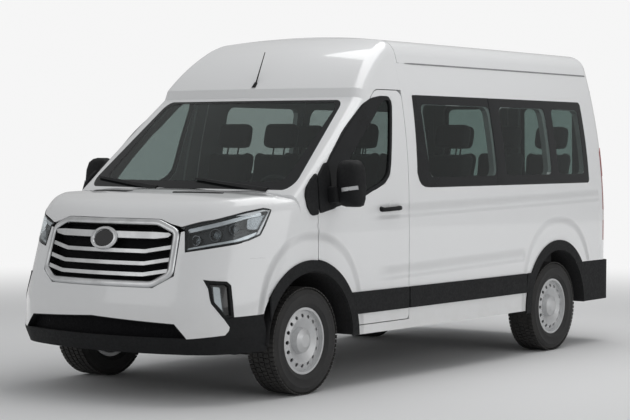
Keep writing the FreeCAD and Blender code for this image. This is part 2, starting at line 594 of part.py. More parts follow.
grille_zone = front_prism(GRILLE)
grille_clear = front_prism(GRILLE, gap)
grille_body = outer_nose.cut(nose_form(s.grille_depth)).common(grille_zone)
pitch = (s.grille_wide_z - s.grille_low_z) / s.grille_slots
slots = []
for number in range(int(s.grille_slots)):
    low_z = s.grille_low_z + s.grille_frame + number * pitch
    reach = s.grille_half_low - s.grille_frame + number * s.grille_frame
    slots.append(front_prism([(-reach, low_z, 0), (reach, low_z, s.grille_frame / 2),
                              (reach, low_z + s.grille_slot, s.grille_frame / 2), (-reach, low_z + s.grille_slot, 0)]))
for slot in slots:
    grille_body = grille_body.cut(slot)
badge = Part.makeCylinder(s.badge_radius, s.grille_depth * 0.8, Vector(nose_x - 2.2 * s.grille_depth, 0, s.grille_wide_z - s.badge_radius),
                          Vector(1, 0, 0))
grille_body = grille_body.fuse(badge.common(outer_nose))
LAMP = [
    (s.lamp_rear_x, s.lamp_top_z, 0), (s.lamp_rear_x + s.grille_frame, s.lamp_low_z + s.lamp_depth / 2, s.door_round),
    (s.nose_high_x - s.nose_corner / 2, s.lamp_low_z - s.grille_frame, s.door_round), (far * 3, s.lamp_low_z - s.grille_frame, 0), (far * 3, s.lamp_top_z, 0)]
lamp_zone = across_prism(LAMP).cut(bonnet_clear).cut(grille_clear)
lamp_zone = lamp_zone.cut(block((0, -far, 0), (far * 3, s.grille_half_low + s.badge_radius, high)))
lamp_clear = grown(LAMP, gap).cut(block((0, -far, 0), (far * 3, s.grille_half_low + s.badge_radius - gap, high)))
headlamp = outer_nose.cut(nose_form(s.lamp_depth)).common(lamp_zone)
bumper_wall = outer_nose.cut(nose_form(s.bumper_depth))
bumper_zone = block((s.bumper_rear_x, -gap, s.bumper_low_z), (far * 3, far, s.bumper_top_z + s.lamp_depth))
INTAKE = [
    (-s.intake_half_low, s.intake_low_z, 0), (s.intake_half_low, s.intake_low_z, s.door_round / 2),
    (s.intake_half_top, s.intake_top_z, s.door_round / 2), (-s.intake_half_top, s.intake_top_z, 0)]
FOG = [
    (s.fog_in, s.fog_low_z, s.door_round / 2), (s.fog_out, s.fog_low_z, s.door_round / 2),
    (s.fog_out - s.grille_frame, s.fog_top_z, s.door_round / 2), (s.fog_in - s.grille_frame, s.fog_top_z - s.grille_frame, s.door_round / 2)]
black_zone = block((s.bumper_rear_x, -gap, s.bumper_low_z), (far * 3, far, s.nose_tip_z))
black_zone = black_zone.fuse(front_prism(FOG)).fuse(front_prism(INTAKE))
black_corner = block((s.bumper_rear_x, s.fog_out, s.bumper_low_z), (far * 3, far, s.black_top_z))
black_zone = black_zone.fuse(black_corner)
bumper_top = block((s.bumper_rear_x, -gap, s.bumper_low_z), (far * 3, far, s.bumper_top_z + s.grille_frame))
grille_seat = front_prism(GRILLE, s.seat_gap)
lamp_seat = grown(LAMP, s.seat_gap).cut(block((0, -far, 0), (far * 3, s.grille_half_low + s.badge_radius - gap, high)))
bumper_all = bumper_wall.common(bumper_top).cut(grille_seat).cut(lamp_seat).cut(arch_cutter(front_axle, s.arch_radius))
bumper_white = bumper_all.cut(black_zone)
bumper_black = bumper_all.common(black_zone)
intake_slots = []
for number in range(2):
    low_z = s.intake_low_z + s.grille_frame + number * s.badge_radius
    intake_slots.append(front_prism([(-s.intake_half_top, low_z, 0), (s.intake_half_top - s.grille_frame, low_z, 0),
                                     (s.intake_half_top - s.grille_frame, low_z + s.grille_frame * 1.4, 0),
                                     (-s.intake_half_top, low_z + s.grille_frame * 1.4, 0)]))
for slot in intake_slots:
    bumper_black = bumper_black.cut(slot)
wing_zone = across_prism([
    (s.door_front_x + gap, s.bumper_top_z + s.grille_frame + s.seat_gap, 0),
    (far * 3, s.bumper_top_z + s.grille_frame + s.seat_gap, 0),
    (far * 3, s.nose_end_z, 0), (s.screen_foot_x, s.nose_end_z, 0), (s.screen_foot_x - gap, s.screen_foot_z, 0),
    (s.door_front_x + gap, s.screen_foot_z, 0)], s.side_reach)
wing = nose_wall.common(wing_zone)
lower_wing = nose_wall.common(block((s.nose_start_x + gap, s.side_reach, s.sill_height),
                                    (s.bumper_rear_x - gap, far, s.bumper_top_z + s.grille_frame + 2 * gap)))
lower_wing = lower_wing.cut(block((0, 0, 0), (s.door_front_x + gap, far, high)).cut(front_arch_lip))
cowl_room = block((s.screen_foot_x - s.wall - gap, -far, s.waist_height), (s.bonnet_start_x, s.bonnet_half, high))
wing = wing.fuse(lower_wing).cut(front_arch).cut(bonnet_clear).cut(lamp_seat).cut(grille_clear)
wing = biggest(wing.cut(door_hole.cut(front_arch_lip)).cut(inner_cab).cut(cowl_room))
for hinge in door_hinges:
    wing = wing.cut(hinge.room(moving=False)).fuse(hinge.knuckle(moving=False))
bonnet_hinge = Hinge((s.bonnet_start_x - gap / 2, s.bonnet_hinge_y, s.bonnet_hinge_z), Vector(0, -1, 0))
bonnet = biggest(bonnet).cut(bonnet_hinge.room(moving=True)).fuse(bonnet_hinge.knuckle(moving=True))
add_node("bonnet", both_halves(bonnet))
add_node("front_wings", Part.makeCompound([biggest(wing), mirrored(biggest(wing))]))
add_node("grille", both_halves(grille_body))
add_node("headlamps", Part.makeCompound([biggest(headlamp), mirrored(biggest(headlamp))]))
add_node("front_bumper", both_halves(biggest(bumper_white)))
add_node("lower_bumper", both_halves(biggest(bumper_black)))

# Pieces made as bodies with sketches, and from primitives bound to the sheet

def own_plane(body, role):
    """Origin plane of a body, found by its role."""
    return next(feature for feature in body.Origin.OriginFeatures if feature.Role == role)


def new_body(label):
    """Body that becomes a node of its own."""
    body = doc.addObject("PartDesign::Body", label)
    body.Label = label
    return body


def sketch_outline(body, name, role, points, lift=None):
    """Closed sketch on one of the body's planes whose corners follow the sheet's sizes."""
    sketch = body.newObject("Sketcher::SketchObject", name)
    sketch.AttachmentSupport = [(own_plane(body, role), "")]
    sketch.MapMode = "FlatFace"
    if lift:
        sketch.setExpression("AttachmentOffset.Base.z", lift)
    spots = [[float(sheet.evalExpression(text)) for text in point] for point in points]
    count = len(points)
    for index, (across, up) in enumerate(spots):
        after = spots[(index + 1) % count]
        sketch.addGeometry(Part.LineSegment(Vector(across, up, 0), Vector(*after, 0)))
    for index in range(count):
        sketch.addConstraint(Sketcher.Constraint("Coincident", index, 2, (index + 1) % count, 1))
    for index, point in enumerate(points):
        for kind, text, value in zip(("DistanceX", "DistanceY"), point, spots[index]):
            number = sketch.addConstraint(Sketcher.Constraint(kind, -1, 1, index, 1, value))
            sketch.setExpression(f"Constraints[{number}]", text)
    return sketch


def pad(body, sketch, length, both_ways=True):
    """Pad of a sketch whose length follows the sheet."""
    feature = body.newObject("PartDesign::Pad", f"{sketch.Name}Pad")
    feature.Profile = sketch
    feature.setExpression("Length", length)
    feature.Midplane = both_ways
    body.Tip = feature
    return feature


def revolved(body, sketch, axis="H_Axis"):
    """Full revolution of a sketch about one of its own axes."""
    feature = body.newObject("PartDesign::Revolution", f"{sketch.Name}Turn")
    feature.Profile = sketch
    feature.ReferenceAxis = (sketch, [axis])
    feature.Angle = 360
    body.Tip = feature
    return feature


def rounded_edges(body, pick, radius):
    """Fillet on the edges that a test picks from the body so far."""
    doc.recompute()
    base = body.Tip
    names = [f"Edge{i}" for i, edge in enumerate(base.Shape.Edges, 1) if pick(edge)]
    feature = body.newObject("PartDesign::Fillet", f"{base.Name}Round")
    feature.Base = (base, names)
    feature.setExpression("Radius", radius)
    body.Tip = feature
    return feature


def bound(kind, label, sizes, place=None):
    """Primitive whose sizes and position follow the sheet."""
    piece = doc.addObject(kind, label)
    piece.Label = label
    for name, text in sizes.items():
        piece.setExpression(name, text)
    for name, text in (place or {}).items():
        piece.setExpression(f"Placement.Base.{name}", text)
    return piece


def keep(obj):
    """Count a document object as a sub-part."""
    nodes.append(obj)
    return obj


# Tyres and rims: one turned profile each, in the plane across the axle

def make_tyre(label, axle_x, side):
    """Tyre with a flat tread, rounded shoulders and beads that meet the rim."""
    body = new_body(label)
    half = "sizes.tyre_width / 2"
    bead = "(sizes.rim_width / 2 - sizes.rim_wall - sizes.seat_gap)"
    sketch = sketch_outline(body, f"{label}Profile", "XY_Plane", [
        (f"-{bead}", "sizes.rim_radius + sizes.seat_gap"),
        (bead, "sizes.rim_radius + sizes.seat_gap"),
        (bead, "sizes.rim_flange + sizes.seat_gap"),
        (f"{half} - sizes.tyre_shoulder / 4", "sizes.rim_flange + sizes.tyre_shoulder * 0.7"),
        (half, "(sizes.rim_radius + sizes.tyre_radius) / 2"),
        (f"{half} - sizes.tyre_shoulder / 3", "sizes.tyre_radius - sizes.tyre_shoulder * 1.3"),
        (f"{half} - sizes.tyre_shoulder * 1.3", "sizes.tyre_radius - sizes.tyre_shoulder / 4"),
        (f"{half} - sizes.tyre_shoulder * 2", "sizes.tyre_radius"),
        (f"-{half} + sizes.tyre_shoulder * 2", "sizes.tyre_radius"),
        (f"-{half} + sizes.tyre_shoulder * 1.3", "sizes.tyre_radius - sizes.tyre_shoulder / 4"),
        (f"-{half} + sizes.tyre_shoulder / 3", "sizes.tyre_radius - sizes.tyre_shoulder * 1.3"),
        (f"-{half}", "(sizes.rim_radius + sizes.tyre_radius) / 2"),
        (f"-{half} + sizes.tyre_shoulder / 4", "sizes.rim_flange + sizes.tyre_shoulder * 0.7"),
        (f"-{bead}", "sizes.rim_flange + sizes.seat_gap")])
    revolved(body, sketch)
    set_wheel_place(body, axle_x, side)
    return keep(body)


def set_wheel_place(body, axle_x, side):
    """Turn a wheel piece so that its own X axis points outwards, and put it on its axle."""
    body.Placement = Placement(Vector(axle_x, side * (s.wheel_out_y - s.tyre_width / 2), s.tyre_radius),
                               Rotation(Vector(0, 0, 1), 90 * side))


def make_rim(label, axle_x, side):
    """Steel rim: well, flanges, dished disc with round vents, hub and cap."""
    body = new_body(label)
    half = "sizes.rim_width / 2"
    sketch = sketch_outline(body, f"{label}Profile", "XY_Plane", [
        (f"-{half}", "sizes.rim_radius - sizes.rim_wall"),
        (f"{half} - sizes.rim_dish - sizes.disc_thick", "sizes.rim_radius - sizes.rim_wall"),
        (f"{half} - sizes.rim_dish * 0.4 - sizes.disc_thick", "sizes.disc_ring"),
        (f"{half} - sizes.rim_dish * 1.6 - sizes.disc_thick", "sizes.hub_cap"),
        (f"{half} - sizes.rim_dish * 1.6 - sizes.disc_thick", "sizes.hub_radius"),
        ("sizes.wheel_bore_start", "sizes.hub_radius"),
        ("sizes.wheel_bore_start", "sizes.spindle_radius + sizes.seat_gap * 2"),
        ("sizes.rim_width / 2 - sizes.rim_dish", "sizes.spindle_radius + sizes.seat_gap * 2"),
        ("sizes.rim_width / 2 - sizes.rim_dish", "0"),
        (f"{half} + sizes.hub_proud", "0"),
        (f"{half} + sizes.hub_proud * 0.8", "sizes.hub_cap * 0.55"),
        (f"{half} - sizes.hub_proud * 0.4", "sizes.hub_cap"),
        (f"{half} - sizes.rim_dish * 1.6", "sizes.hub_cap + sizes.disc_thick"),
        (f"{half} - sizes.rim_dish * 0.4", "sizes.disc_ring"),
        (f"{half} - sizes.rim_dish", "sizes.rim_radius - sizes.rim_wall / 2"),
        (half, "sizes.rim_radius"),
        (half, "sizes.rim_flange"),
        (f"{half} - sizes.rim_wall", "sizes.rim_flange"),
        (f"{half} - sizes.rim_wall", "sizes.rim_radius"),
        (f"-{half} + sizes.rim_wall", "sizes.rim_radius"),
        (f"-{half} + sizes.rim_wall", "sizes.rim_flange"),
        (f"-{half}", "sizes.rim_flange")])
    turned_rim = revolved(body, sketch)
    doc.recompute()
    before = turned_rim.Shape.Volume
    vent = body.newObject("Sketcher::SketchObject", f"{label}Vent")
    vent.AttachmentSupport = [(own_plane(body, "YZ_Plane"), "")]
    vent.MapMode = "FlatFace"
    vent.addGeometry(Part.Circle(Vector(0, s.vent_circle, 0), Vector(0, 0, 1), s.vent_radius))
    centre = vent.addConstraint(Sketcher.Constraint("DistanceY", -1, 1, 0, 3, s.vent_circle))
    vent.setExpression(f"Constraints[{centre}]", "sizes.vent_circle")
    vent.addConstraint(Sketcher.Constraint("PointOnObject", 0, 3, -2))
    size = vent.addConstraint(Sketcher.Constraint("Radius", 0, s.vent_radius))
    vent.setExpression(f"Constraints[{size}]", "sizes.vent_radius")
    pocket = body.newObject("PartDesign::Pocket", f"{label}VentPocket")
    pocket.Profile = vent
    pocket.Type = "Length"
    pocket.setExpression("Length", "sizes.rim_width / 2")
    pocket.Reversed = True
    body.Tip = pocket
    doc.recompute()
    if pocket.Shape.Volume >= before:
        raise RuntimeError("the vent pocket cut nothing")
    ring = body.newObject("PartDesign::PolarPattern", f"{label}VentRing")
    ring.Originals = [pocket]
    ring.Axis = (own_axis(body, "X_Axis"), [""])
    ring.Angle = 360
    ring.setExpression("Occurrences", "sizes.vent_count")
    body.Tip = ring
    set_wheel_place(body, axle_x, side)
    return keep(body)


def own_axis(body, role):
    """Origin axis of a body, found by its role."""
    return next(feature for feature in body.Origin.OriginFeatures if feature.Role == role)


for end_name, axle_x in (("front", front_axle), ("rear", rear_axle)):
    for side_name, side in (("left", 1), ("right", -1)):
        make_tyre(f"tyre_{end_name}_{side_name}", axle_x, side)
        make_rim(f"rim_{end_name}_{side_name}", axle_x, side)

# Axles and knuckles that carry the wheels

wheel_y = s.wheel_out_y - s.tyre_width / 2
spindle_end = s.wheel_out_y - s.rim_dish * 2.2


def cylinder(radius, start, end):
    """Round bar between two points."""
    reach = Vector(*end) - Vector(*start)
    return Part.makeCylinder(radius, reach.Length, Vector(*start), reach)


def hub_end(axle_x, inner_y):
    """Spindle with its brake disc, on the left side."""
    z = s.tyre_radius
    spindle = cylinder(s.spindle_radius, (axle_x, inner_y, z), (axle_x, spindle_end, z))
    disc_y = wheel_y + s.wheel_bore_start - gap - s.brake_thick
    disc = cylinder(s.brake_radius, (axle_x, disc_y, z), (axle_x, disc_y + s.brake_thick, z))
    return [spindle, disc]


def upright_block(x, y, low_z, high_z, half_x, half_y):
    """Box about an upright line."""
    return block((x - half_x, y - half_y, low_z), (x + half_x, y + half_y, high_z))


pin_low = s.tyre_radius - s.kingpin_length / 2
pin_high = s.tyre_radius + s.kingpin_length / 2
kingpin = cylinder(s.kingpin_radius, (front_axle, s.kingpin_y, pin_low), (front_axle, s.kingpin_y, pin_high))
knuckle = fused([kingpin, *hub_end(front_axle, s.kingpin_y)])
add_node("knuckle_left", knuckle)
add_node("knuckle_right", mirrored(knuckle))

arm = s.kingpin_radius * 1.1
arm_thick = s.kingpin_radius
strut_y = (s.rail_y + s.kingpin_y) / 2 - s.kingpin_radius


def arm_plate(inner_y, low_z):
    """Arm from the middle of the vehicle to a round end on the kingpin's line."""
    plate = block((front_axle - arm, inner_y, low_z), (front_axle + arm, s.kingpin_y, low_z + arm_thick))
    return plate.fuse(Part.makeCylinder(arm, arm_thick, Vector(front_axle, s.kingpin_y, low_z)))


lower_arm = arm_plate(s.rail_y / 2, pin_low - s.seat_gap - arm_thick)
upper_arm = arm_plate(strut_y, pin_high + s.seat_gap)
cross = block((front_axle - s.rail_width, -gap, pin_low - s.seat_gap - arm_thick),
              (front_axle + s.rail_width, s.rail_y, pin_low + s.rail_width))
cross_post = block((front_axle - s.rail_width, s.rail_y - s.rail_width / 2, pin_low),
                   (front_axle + s.rail_width, s.rail_y + s.rail_width / 2, s.floor_top - s.floor_thick - s.rail_height - s.seat_gap))
strut = cylinder(s.kingpin_radius * 1.8, (front_axle, strut_y, pin_low - arm_thick),
                 (front_axle, strut_y, s.tyre_radius + s.arch_radius))
carrier = fused([lower_arm, upper_arm, cross, cross_post, strut])
add_node("front_subframe", both_halves(carrier))

spring_y = s.rail_y + s.rail_width / 2 + s.spring_width
spring_low = s.tyre_radius + s.axle_radius
rail_low = s.floor_top - s.floor_thick - s.rail_height
spring_half = s.spring_length / 2


def spring_line(lift):
    """Side profile of a leaf, raised by a lift."""
    return [(rear_axle - spring_half, rail_low - s.spring_thick + lift), (rear_axle, spring_low + lift),
            (rear_axle + spring_half, rail_low - s.spring_thick + lift)]


low_line, top_line = spring_line(0), spring_line(s.spring_thick)
spring_wire = run_wire(side_on, low_line[0], [(low_line[1], low_line[2]), (top_line[2],), (top_line[1], top_line[0])])
spring = prism(spring_wire, Vector(0, spring_y - s.spring_width / 2, 0), Vector(0, s.spring_width, 0))
half_beam = cylinder(s.axle_radius, (rear_axle, -gap, s.tyre_radius), (rear_axle, s.kingpin_y, s.tyre_radius))
spring_seat = upright_block(rear_axle, spring_y, s.tyre_radius, spring_low + gap, s.spring_width, s.spring_width / 2)
rear_half = fused([half_beam, spring, spring_seat, *hub_end(rear_axle, s.kingpin_y - s.rim_wall)])
add_node("rear_axle", both_halves(rear_half))

# Floor, wheel houses, rails and bulkhead

slab_low = s.floor_top - s.floor_thick
inner_y = s.half_width - s.wall - s.seat_gap
house_skin = gap
front_house_y = s.kingpin_y - s.arch_radius / 2 - s.rail_width / 2
rear_house_y = wheel_y - s.tyre_width / 2 - s.badge_radius


def wheel_house(axle_x, from_y):
    """Half drum over a wheel with its inner wall."""
    length = inner_y - from_y
    base = Vector(axle_x, from_y, s.tyre_radius)
    outer = Part.makeCylinder(s.arch_house + house_skin, length, base, Vector(0, 1, 0))
    inner = Part.makeCylinder(s.arch_house, length, base + Vector(0, house_skin, 0), Vector(0, 1, 0))
    drum = outer.cut(inner)
    return drum.common(block((axle_x - far, 0, s.sill_height + gap), (axle_x + far, far, high)))


def house_room(axle_x, from_y):
    """Room that a wheel house takes out of the floor."""
    return Part.makeCylinder(s.arch_house, far, Vector(axle_x, from_y + house_skin, s.tyre_radius), Vector(0, 1, 0))


slab = block((tail_x + s.wall * 2, -gap, slab_low), (front_axle - s.arch_house, inner_y, s.floor_top))
footwell = block((front_axle - s.arch_house - gap, -gap, slab_low),
                 (s.screen_foot_x - s.wall, front_house_y, s.floor_top))
bulkhead = block((s.screen_foot_x - s.wall - s.skin, -gap, slab_low),
                 (s.screen_foot_x - s.wall, front_house_y, s.screen_foot_z - s.wall))
bulkhead_wide = block((s.screen_foot_x - s.wall - s.skin, -gap, s.tyre_radius + s.arch_house + house_skin),
                      (s.screen_foot_x - s.wall, s.side_reach - gap, s.screen_foot_z - s.wall))
rail = block((-far * 3, s.rail_y - s.rail_width / 2, rail_low), (far * 3, s.rail_y + s.rail_width / 2, slab_low))
brackets = [block((rear_axle + way * spring_half - s.rail_width / 2, s.rail_y, rail_low),
                  (rear_axle + way * spring_half + s.rail_width / 2, spring_y + s.spring_width / 2, slab_low))
            for way in (-1, 1)]
jack_pad = block((s.jack_x - s.jack_pad / 2, s.rail_y - s.rail_width / 2, rail_low - s.jack_drop),
                 (s.jack_x + s.jack_pad / 2, s.rail_y + s.rail_width / 2, rail_low))
front_beam = block((nose_x - s.nose_corner * 0.8 - s.rail_width, -gap, rail_low),
                   (nose_x - s.nose_corner * 0.8, s.intake_half_top, slab_low - gap))
front_house = wheel_house(front_axle, front_house_y).common(nose_form(s.bumper_depth + gap))
front_house = front_house.cut(block((front_axle - arm * 3, 0, 0), (front_axle + s.arch_house + far, s.kingpin_y - s.wall, high)))
axle_room = block((rear_axle - s.axle_radius * 3, 0, 0), (rear_axle + s.axle_radius * 3, s.kingpin_y, slab_low - gap))
rear_house = wheel_house(rear_axle, rear_house_y).cut(axle_room)
cabin_floor = slab.cut(house_room(rear_axle, rear_house_y)).cut(house_room(front_axle, front_house_y))
cabin_floor = fused([cabin_floor, rear_house]).common(cab_form(s.wall + s.seat_gap))
step_room = block((s.seam_b_x - gap, inner_y - 3 * gap, 0), (s.door_front_x + gap, far, s.door_head_z))
bumper_room = outer_cab.cut(cab_form(s.rear_bumper_depth + s.seat_gap)).translated(Vector(-s.tail_set_in, 0, 0))
bumper_room = bumper_room.common(rear_bumper_clear)
rear_rail = rail.common(cab_form(s.rear_bumper_depth + s.seat_gap).translated(Vector(-s.tail_set_in, 0, 0)))
front_rail = rail.common(nose_form(s.bumper_depth + s.seat_gap))
rail_middle = rail.common(block((-s.wheelbase / 4, 0, 0), (s.nose_start_x + gap, far, high)))
hitch_holes = [Part.makeCylinder(s.hitch_hole, s.rail_height + 2 * gap, Vector(s.hitch_x + way * s.hitch_pitch / 2, s.rail_y, rail_low - gap))
               for way in (-1, 1)]
cabin_floor = cabin_floor.cut(step_room).cut(bumper_room)
floor = fused([cabin_floor, footwell, bulkhead, bulkhead_wide, rear_rail, front_rail, rail_middle, front_beam, jack_pad, front_house, *brackets])
for hole in hitch_holes:
    floor = floor.cut(hole)
add_node("floor", both_halves(floor))

# Engine, tank and exhaust

engine = bound("Part::Box", "engine_body",
               {"Length": "sizes.engine_length", "Width": "sizes.engine_width", "Height": "sizes.engine_height"},
               {"x": "sizes.engine_x", "y": "-sizes.engine_width / 2", "z": "sizes.engine_z"})
mounts = bound("Part::Box", "engine_mounts",
               {"Length": "sizes.rail_width", "Width": "2 * sizes.rail_y - sizes.rail_width - 2 * sizes.seat_gap",
                "Height": "sizes.rail_width"},
               {"x": "sizes.engine_x + sizes.engine_length / 2", "y": "-sizes.rail_y + sizes.rail_width / 2 + sizes.seat_gap",
                "z": "sizes.engine_z + sizes.rail_width"})
engine_all = doc.addObject("Part::Fuse", "engine")
engine_all.Label = "engine"
engine_all.Base = engine
engine_all.Tool = mounts
keep(engine_all)

tank = new_body("fuel_tank")
tank_face = sketch_outline(tank, "tank_outline", "XY_Plane", [
    ("sizes.tank_x", "sizes.tank_y"), ("sizes.tank_x + sizes.tank_length", "sizes.tank_y"),
    ("sizes.tank_x + sizes.tank_length", "sizes.tank_y + sizes.tank_width"), ("sizes.tank_x", "sizes.tank_y + sizes.tank_width")],
    lift="sizes.floor_top - sizes.floor_thick - sizes.seat_gap - sizes.tank_height")
pad(tank, tank_face, "sizes.tank_height", both_ways=False)
rounded_edges(tank, lambda edge: middle_of(edge).z < slab_low - s.tank_height + gap or abs(edge.tangentAt(0).z) > 0.9, "sizes.skin * 2")
keep(tank)

pipe_y = -s.rail_y / 2
pipe_z = s.floor_top - s.floor_thick - s.muffler_radius - s.skin
pipe_end = tail_x + s.wall * 3
hangers = [block((place - s.skin, pipe_y - s.skin / 2, pipe_z), (place + s.skin, pipe_y + s.skin / 2, slab_low - s.seat_gap))
           for place in (s.muffler_x, s.muffler_x + s.muffler_length, s.engine_x - s.engine_length, pipe_end + s.wheel_radius)]
exhaust = fused([cylinder(s.pipe_radius, (s.engine_x - s.seat_gap, pipe_y, pipe_z), (pipe_end, pipe_y, pipe_z)),
                 cylinder(s.muffler_radius, (s.muffler_x, pipe_y, pipe_z), (s.muffler_x + s.muffler_length, pipe_y, pipe_z)), *hangers])
add_node("exhaust", exhaust)

# Dashboard, steering wheel and seats

dash = prism(outline(side_on, [
    (s.screen_foot_x, s.dash_low_z, 0), (s.screen_foot_x - s.dash_depth * 0.75, s.dash_low_z, s.seat_frame),
    (s.screen_foot_x - s.dash_depth, s.dash_low_z + s.seat_frame * 4, s.seat_frame),
    (s.screen_foot_x - s.dash_depth * 0.9, s.dash_top_z - s.seat_frame / 2, s.seat_frame), (s.screen_foot_x, s.dash_top_z, 0)]),
    Vector(0, -gap, 0), Vector(0, s.door_reach + gap, 0))
dash = dash.common(inner_cab).cut(block((s.screen_foot_x - s.wall - s.skin - s.seat_gap, -far, 0), (far * 2, far, high)))
dash = both_halves(biggest(dash))
column_tilt = math.radians(s.wheel_tilt)
column_way = Vector(math.cos(column_tilt), 0, -math.sin(column_tilt))
wheel_centre = Vector(s.wheel_centre_x, s.front_seat_y, s.wheel_centre_z)
column_start = wheel_centre + column_way * (s.wheel_grip * 2 + s.seat_gap)
column = Part.makeCylinder(s.wheel_grip * 1.6, s.dash_depth * 0.6, column_start, column_way)
add_node("dashboard", dash.fuse(column).removeSplitter())
grip = Part.makeTorus(s.wheel_radius - s.wheel_grip, s.wheel_grip)
boss = Part.makeCylinder(s.wheel_grip * 3, s.wheel_grip * 2, Vector(0, 0, -s.wheel_grip * 2))
spokes = [Part.makeBox(s.wheel_radius - s.wheel_grip, s.wheel_grip * 1.6, s.wheel_grip * 0.9,
                       Vector(0, -s.wheel_grip * 0.8, -s.wheel_grip * 0.9)) for turn in range(3)]
for turn, spoke in enumerate(spokes):
    spoke.rotate(Vector(0, 0, 0), Vector(0, 0, 1), 90 * (turn + 1))
steering = fused([grip, boss, *spokes])
steering_wheel = add_node("steering_wheel", steering)
steering_wheel.Placement = Placement(wheel_centre, Rotation(Vector(0, 1, 0), s.wheel_tilt - 90))


def soft_box(low, high_corner, radius):
    """Box with all its edges rounded."""
    piece = block(low, high_corner)
    return piece.makeFillet(radius, piece.Edges)


def seat_shape(front_x, low_y, high_y, places):
    """Seat on its frame: cushion, leaning back and a head restraint for each place."""
    top = s.seat_height
    cushion = soft_box((front_x - s.seat_depth, low_y, top - s.cushion_thick), (front_x, high_y, top), s.seat_frame)
    hinge = Vector(front_x - s.seat_depth + s.back_thick / 2, 0, top - s.cushion_thick)
    back = soft_box((hinge.x - s.back_thick, low_y, hinge.z), (hinge.x, high_y, hinge.z + s.back_height + s.cushion_thick), s.seat_frame)
    rests = []
    pitch_y = (high_y - low_y) / places
    rest_z = hinge.z + s.back_height + s.cushion_thick + s.skin
    for number in range(places):
        middle_y = low_y + pitch_y * (number + 0.5)
        rests.append(soft_box((hinge.x - s.back_thick / 2 - s.rest_thick / 2, middle_y - s.rest_width / 2, rest_z),
                              (hinge.x - s.back_thick / 2 + s.rest_thick / 2, middle_y + s.rest_width / 2, rest_z + s.rest_height),
                              s.seat_frame * 0.9))
        rests.append(upright_block(hinge.x - s.back_thick / 2, middle_y, rest_z - s.seat_frame * 2, rest_z + s.seat_frame,
                                   gap, s.seat_frame))
    leaning = fused([back, *rests])
    leaning.rotate(hinge, Vector(0, 1, 0), -s.back_lean)
    inner_wall = rear_house_y - gap
    frame_box = block((front_x - s.seat_depth * 0.8, max(low_y + s.seat_frame, -inner_wall), s.floor_top + s.seat_gap),
                      (front_x - s.seat_depth * 0.2, min(high_y - s.seat_frame, inner_wall), top - s.cushion_thick + s.seat_frame / 2))
    return fused([cushion, leaning, frame_box])


half_seat = s.seat_width / 2
driver = seat_shape(s.front_seat_x + s.seat_depth, s.front_seat_y - half_seat, s.front_seat_y + half_seat, 1)
bench = seat_shape(s.front_seat_x + s.seat_depth, -s.front_seat_y - s.seat_width, -s.front_seat_y + s.seat_width, 2)
add_node("front_seats", Part.makeCompound([driver, bench]))
rows = []
for number in range(int(s.row_count)):
    row_x = s.row_first_x - number * s.row_pitch + s.seat_depth
    rows.append(seat_shape(row_x, gap * 4, gap * 4 + 2 * s.seat_width, 2))
    rows.append(seat_shape(row_x, -s.front_seat_y - s.seat_width, -s.front_seat_y, 1))
add_node("rear_seats", Part.makeCompound(rows))

# Outside pieces: mouldings, mirrors, cowl, wipers and aerial

strip_wall = half_section(-s.moulding_proud).cut(half_section(0.0))
strip = strip_wall.common(block((rear_axle + s.arch_radius + s.arch_lip, 0, s.moulding_low_z), (s.seam_b_x - gap, far, s.moulding_high_z)))
rear_lip = strip_wall.common(arch_cutter(rear_axle, s.arch_radius + s.arch_lip).cut(arch_cutter(rear_axle, s.arch_radius)))
rear_lip = rear_lip.common(block((s.rear_bumper_x + gap, 0, s.sill_height), (0, far, high)))
front_lip = strip_wall.common(front_arch_lip.cut(front_arch)).common(block((0, 0, s.sill_height), (s.bumper_rear_x - gap, far, high)))
strips = [strip.fuse(rear_lip), front_lip]
add_node("mouldings", Part.makeCompound([biggest(piece) for piece in strips] + [mirrored(biggest(piece)) for piece in strips]))

mirror_low = Vector(s.mirror_x - s.mirror_depth / 2, s.mirror_y - s.mirror_width / 2, s.mirror_z - s.mirror_height / 2)
mirror_head = soft_box(tuple(mirror_low), tuple(mirror_low + Vector(s.mirror_depth, s.mirror_width, s.mirror_height)), s.seat_frame)
mirror_arm = soft_box((s.mirror_x, s.half_width - s.skin * 3, s.mirror_z - s.mirror_height / 2 + s.skin),
                      (s.mirror_x + s.mirror_depth, s.mirror_y - s.mirror_width / 4, s.mirror_z - s.mirror_height / 4), s.skin)
mirror = mirror_head.fuse(mirror_arm).cut(outer_cab)
for side_name, place in (("left", lambda shape: shape), ("right", mirrored)):
    add_node(f"mirror_{side_name}", place(biggest(mirror)))

blade_wall = cab_form(-s.moulding_proud).cut(cab_form(-s.seat_gap))


def wiper(pivot_y, tip_y, tip_z):
    """Wiper blade and arm that lie on the screen."""
    low_z = s.screen_foot_z + s.skin
    width = s.moulding_proud
    shape = prism(outline(front_on, [(pivot_y, low_z, 0), (pivot_y, low_z + width * 2, 0), (tip_y, tip_z + width, 0), (tip_y, tip_z, 0)]),
                  Vector(s.seam_b_x, 0, 0), Vector(far * 2, 0, 0))
    return shape


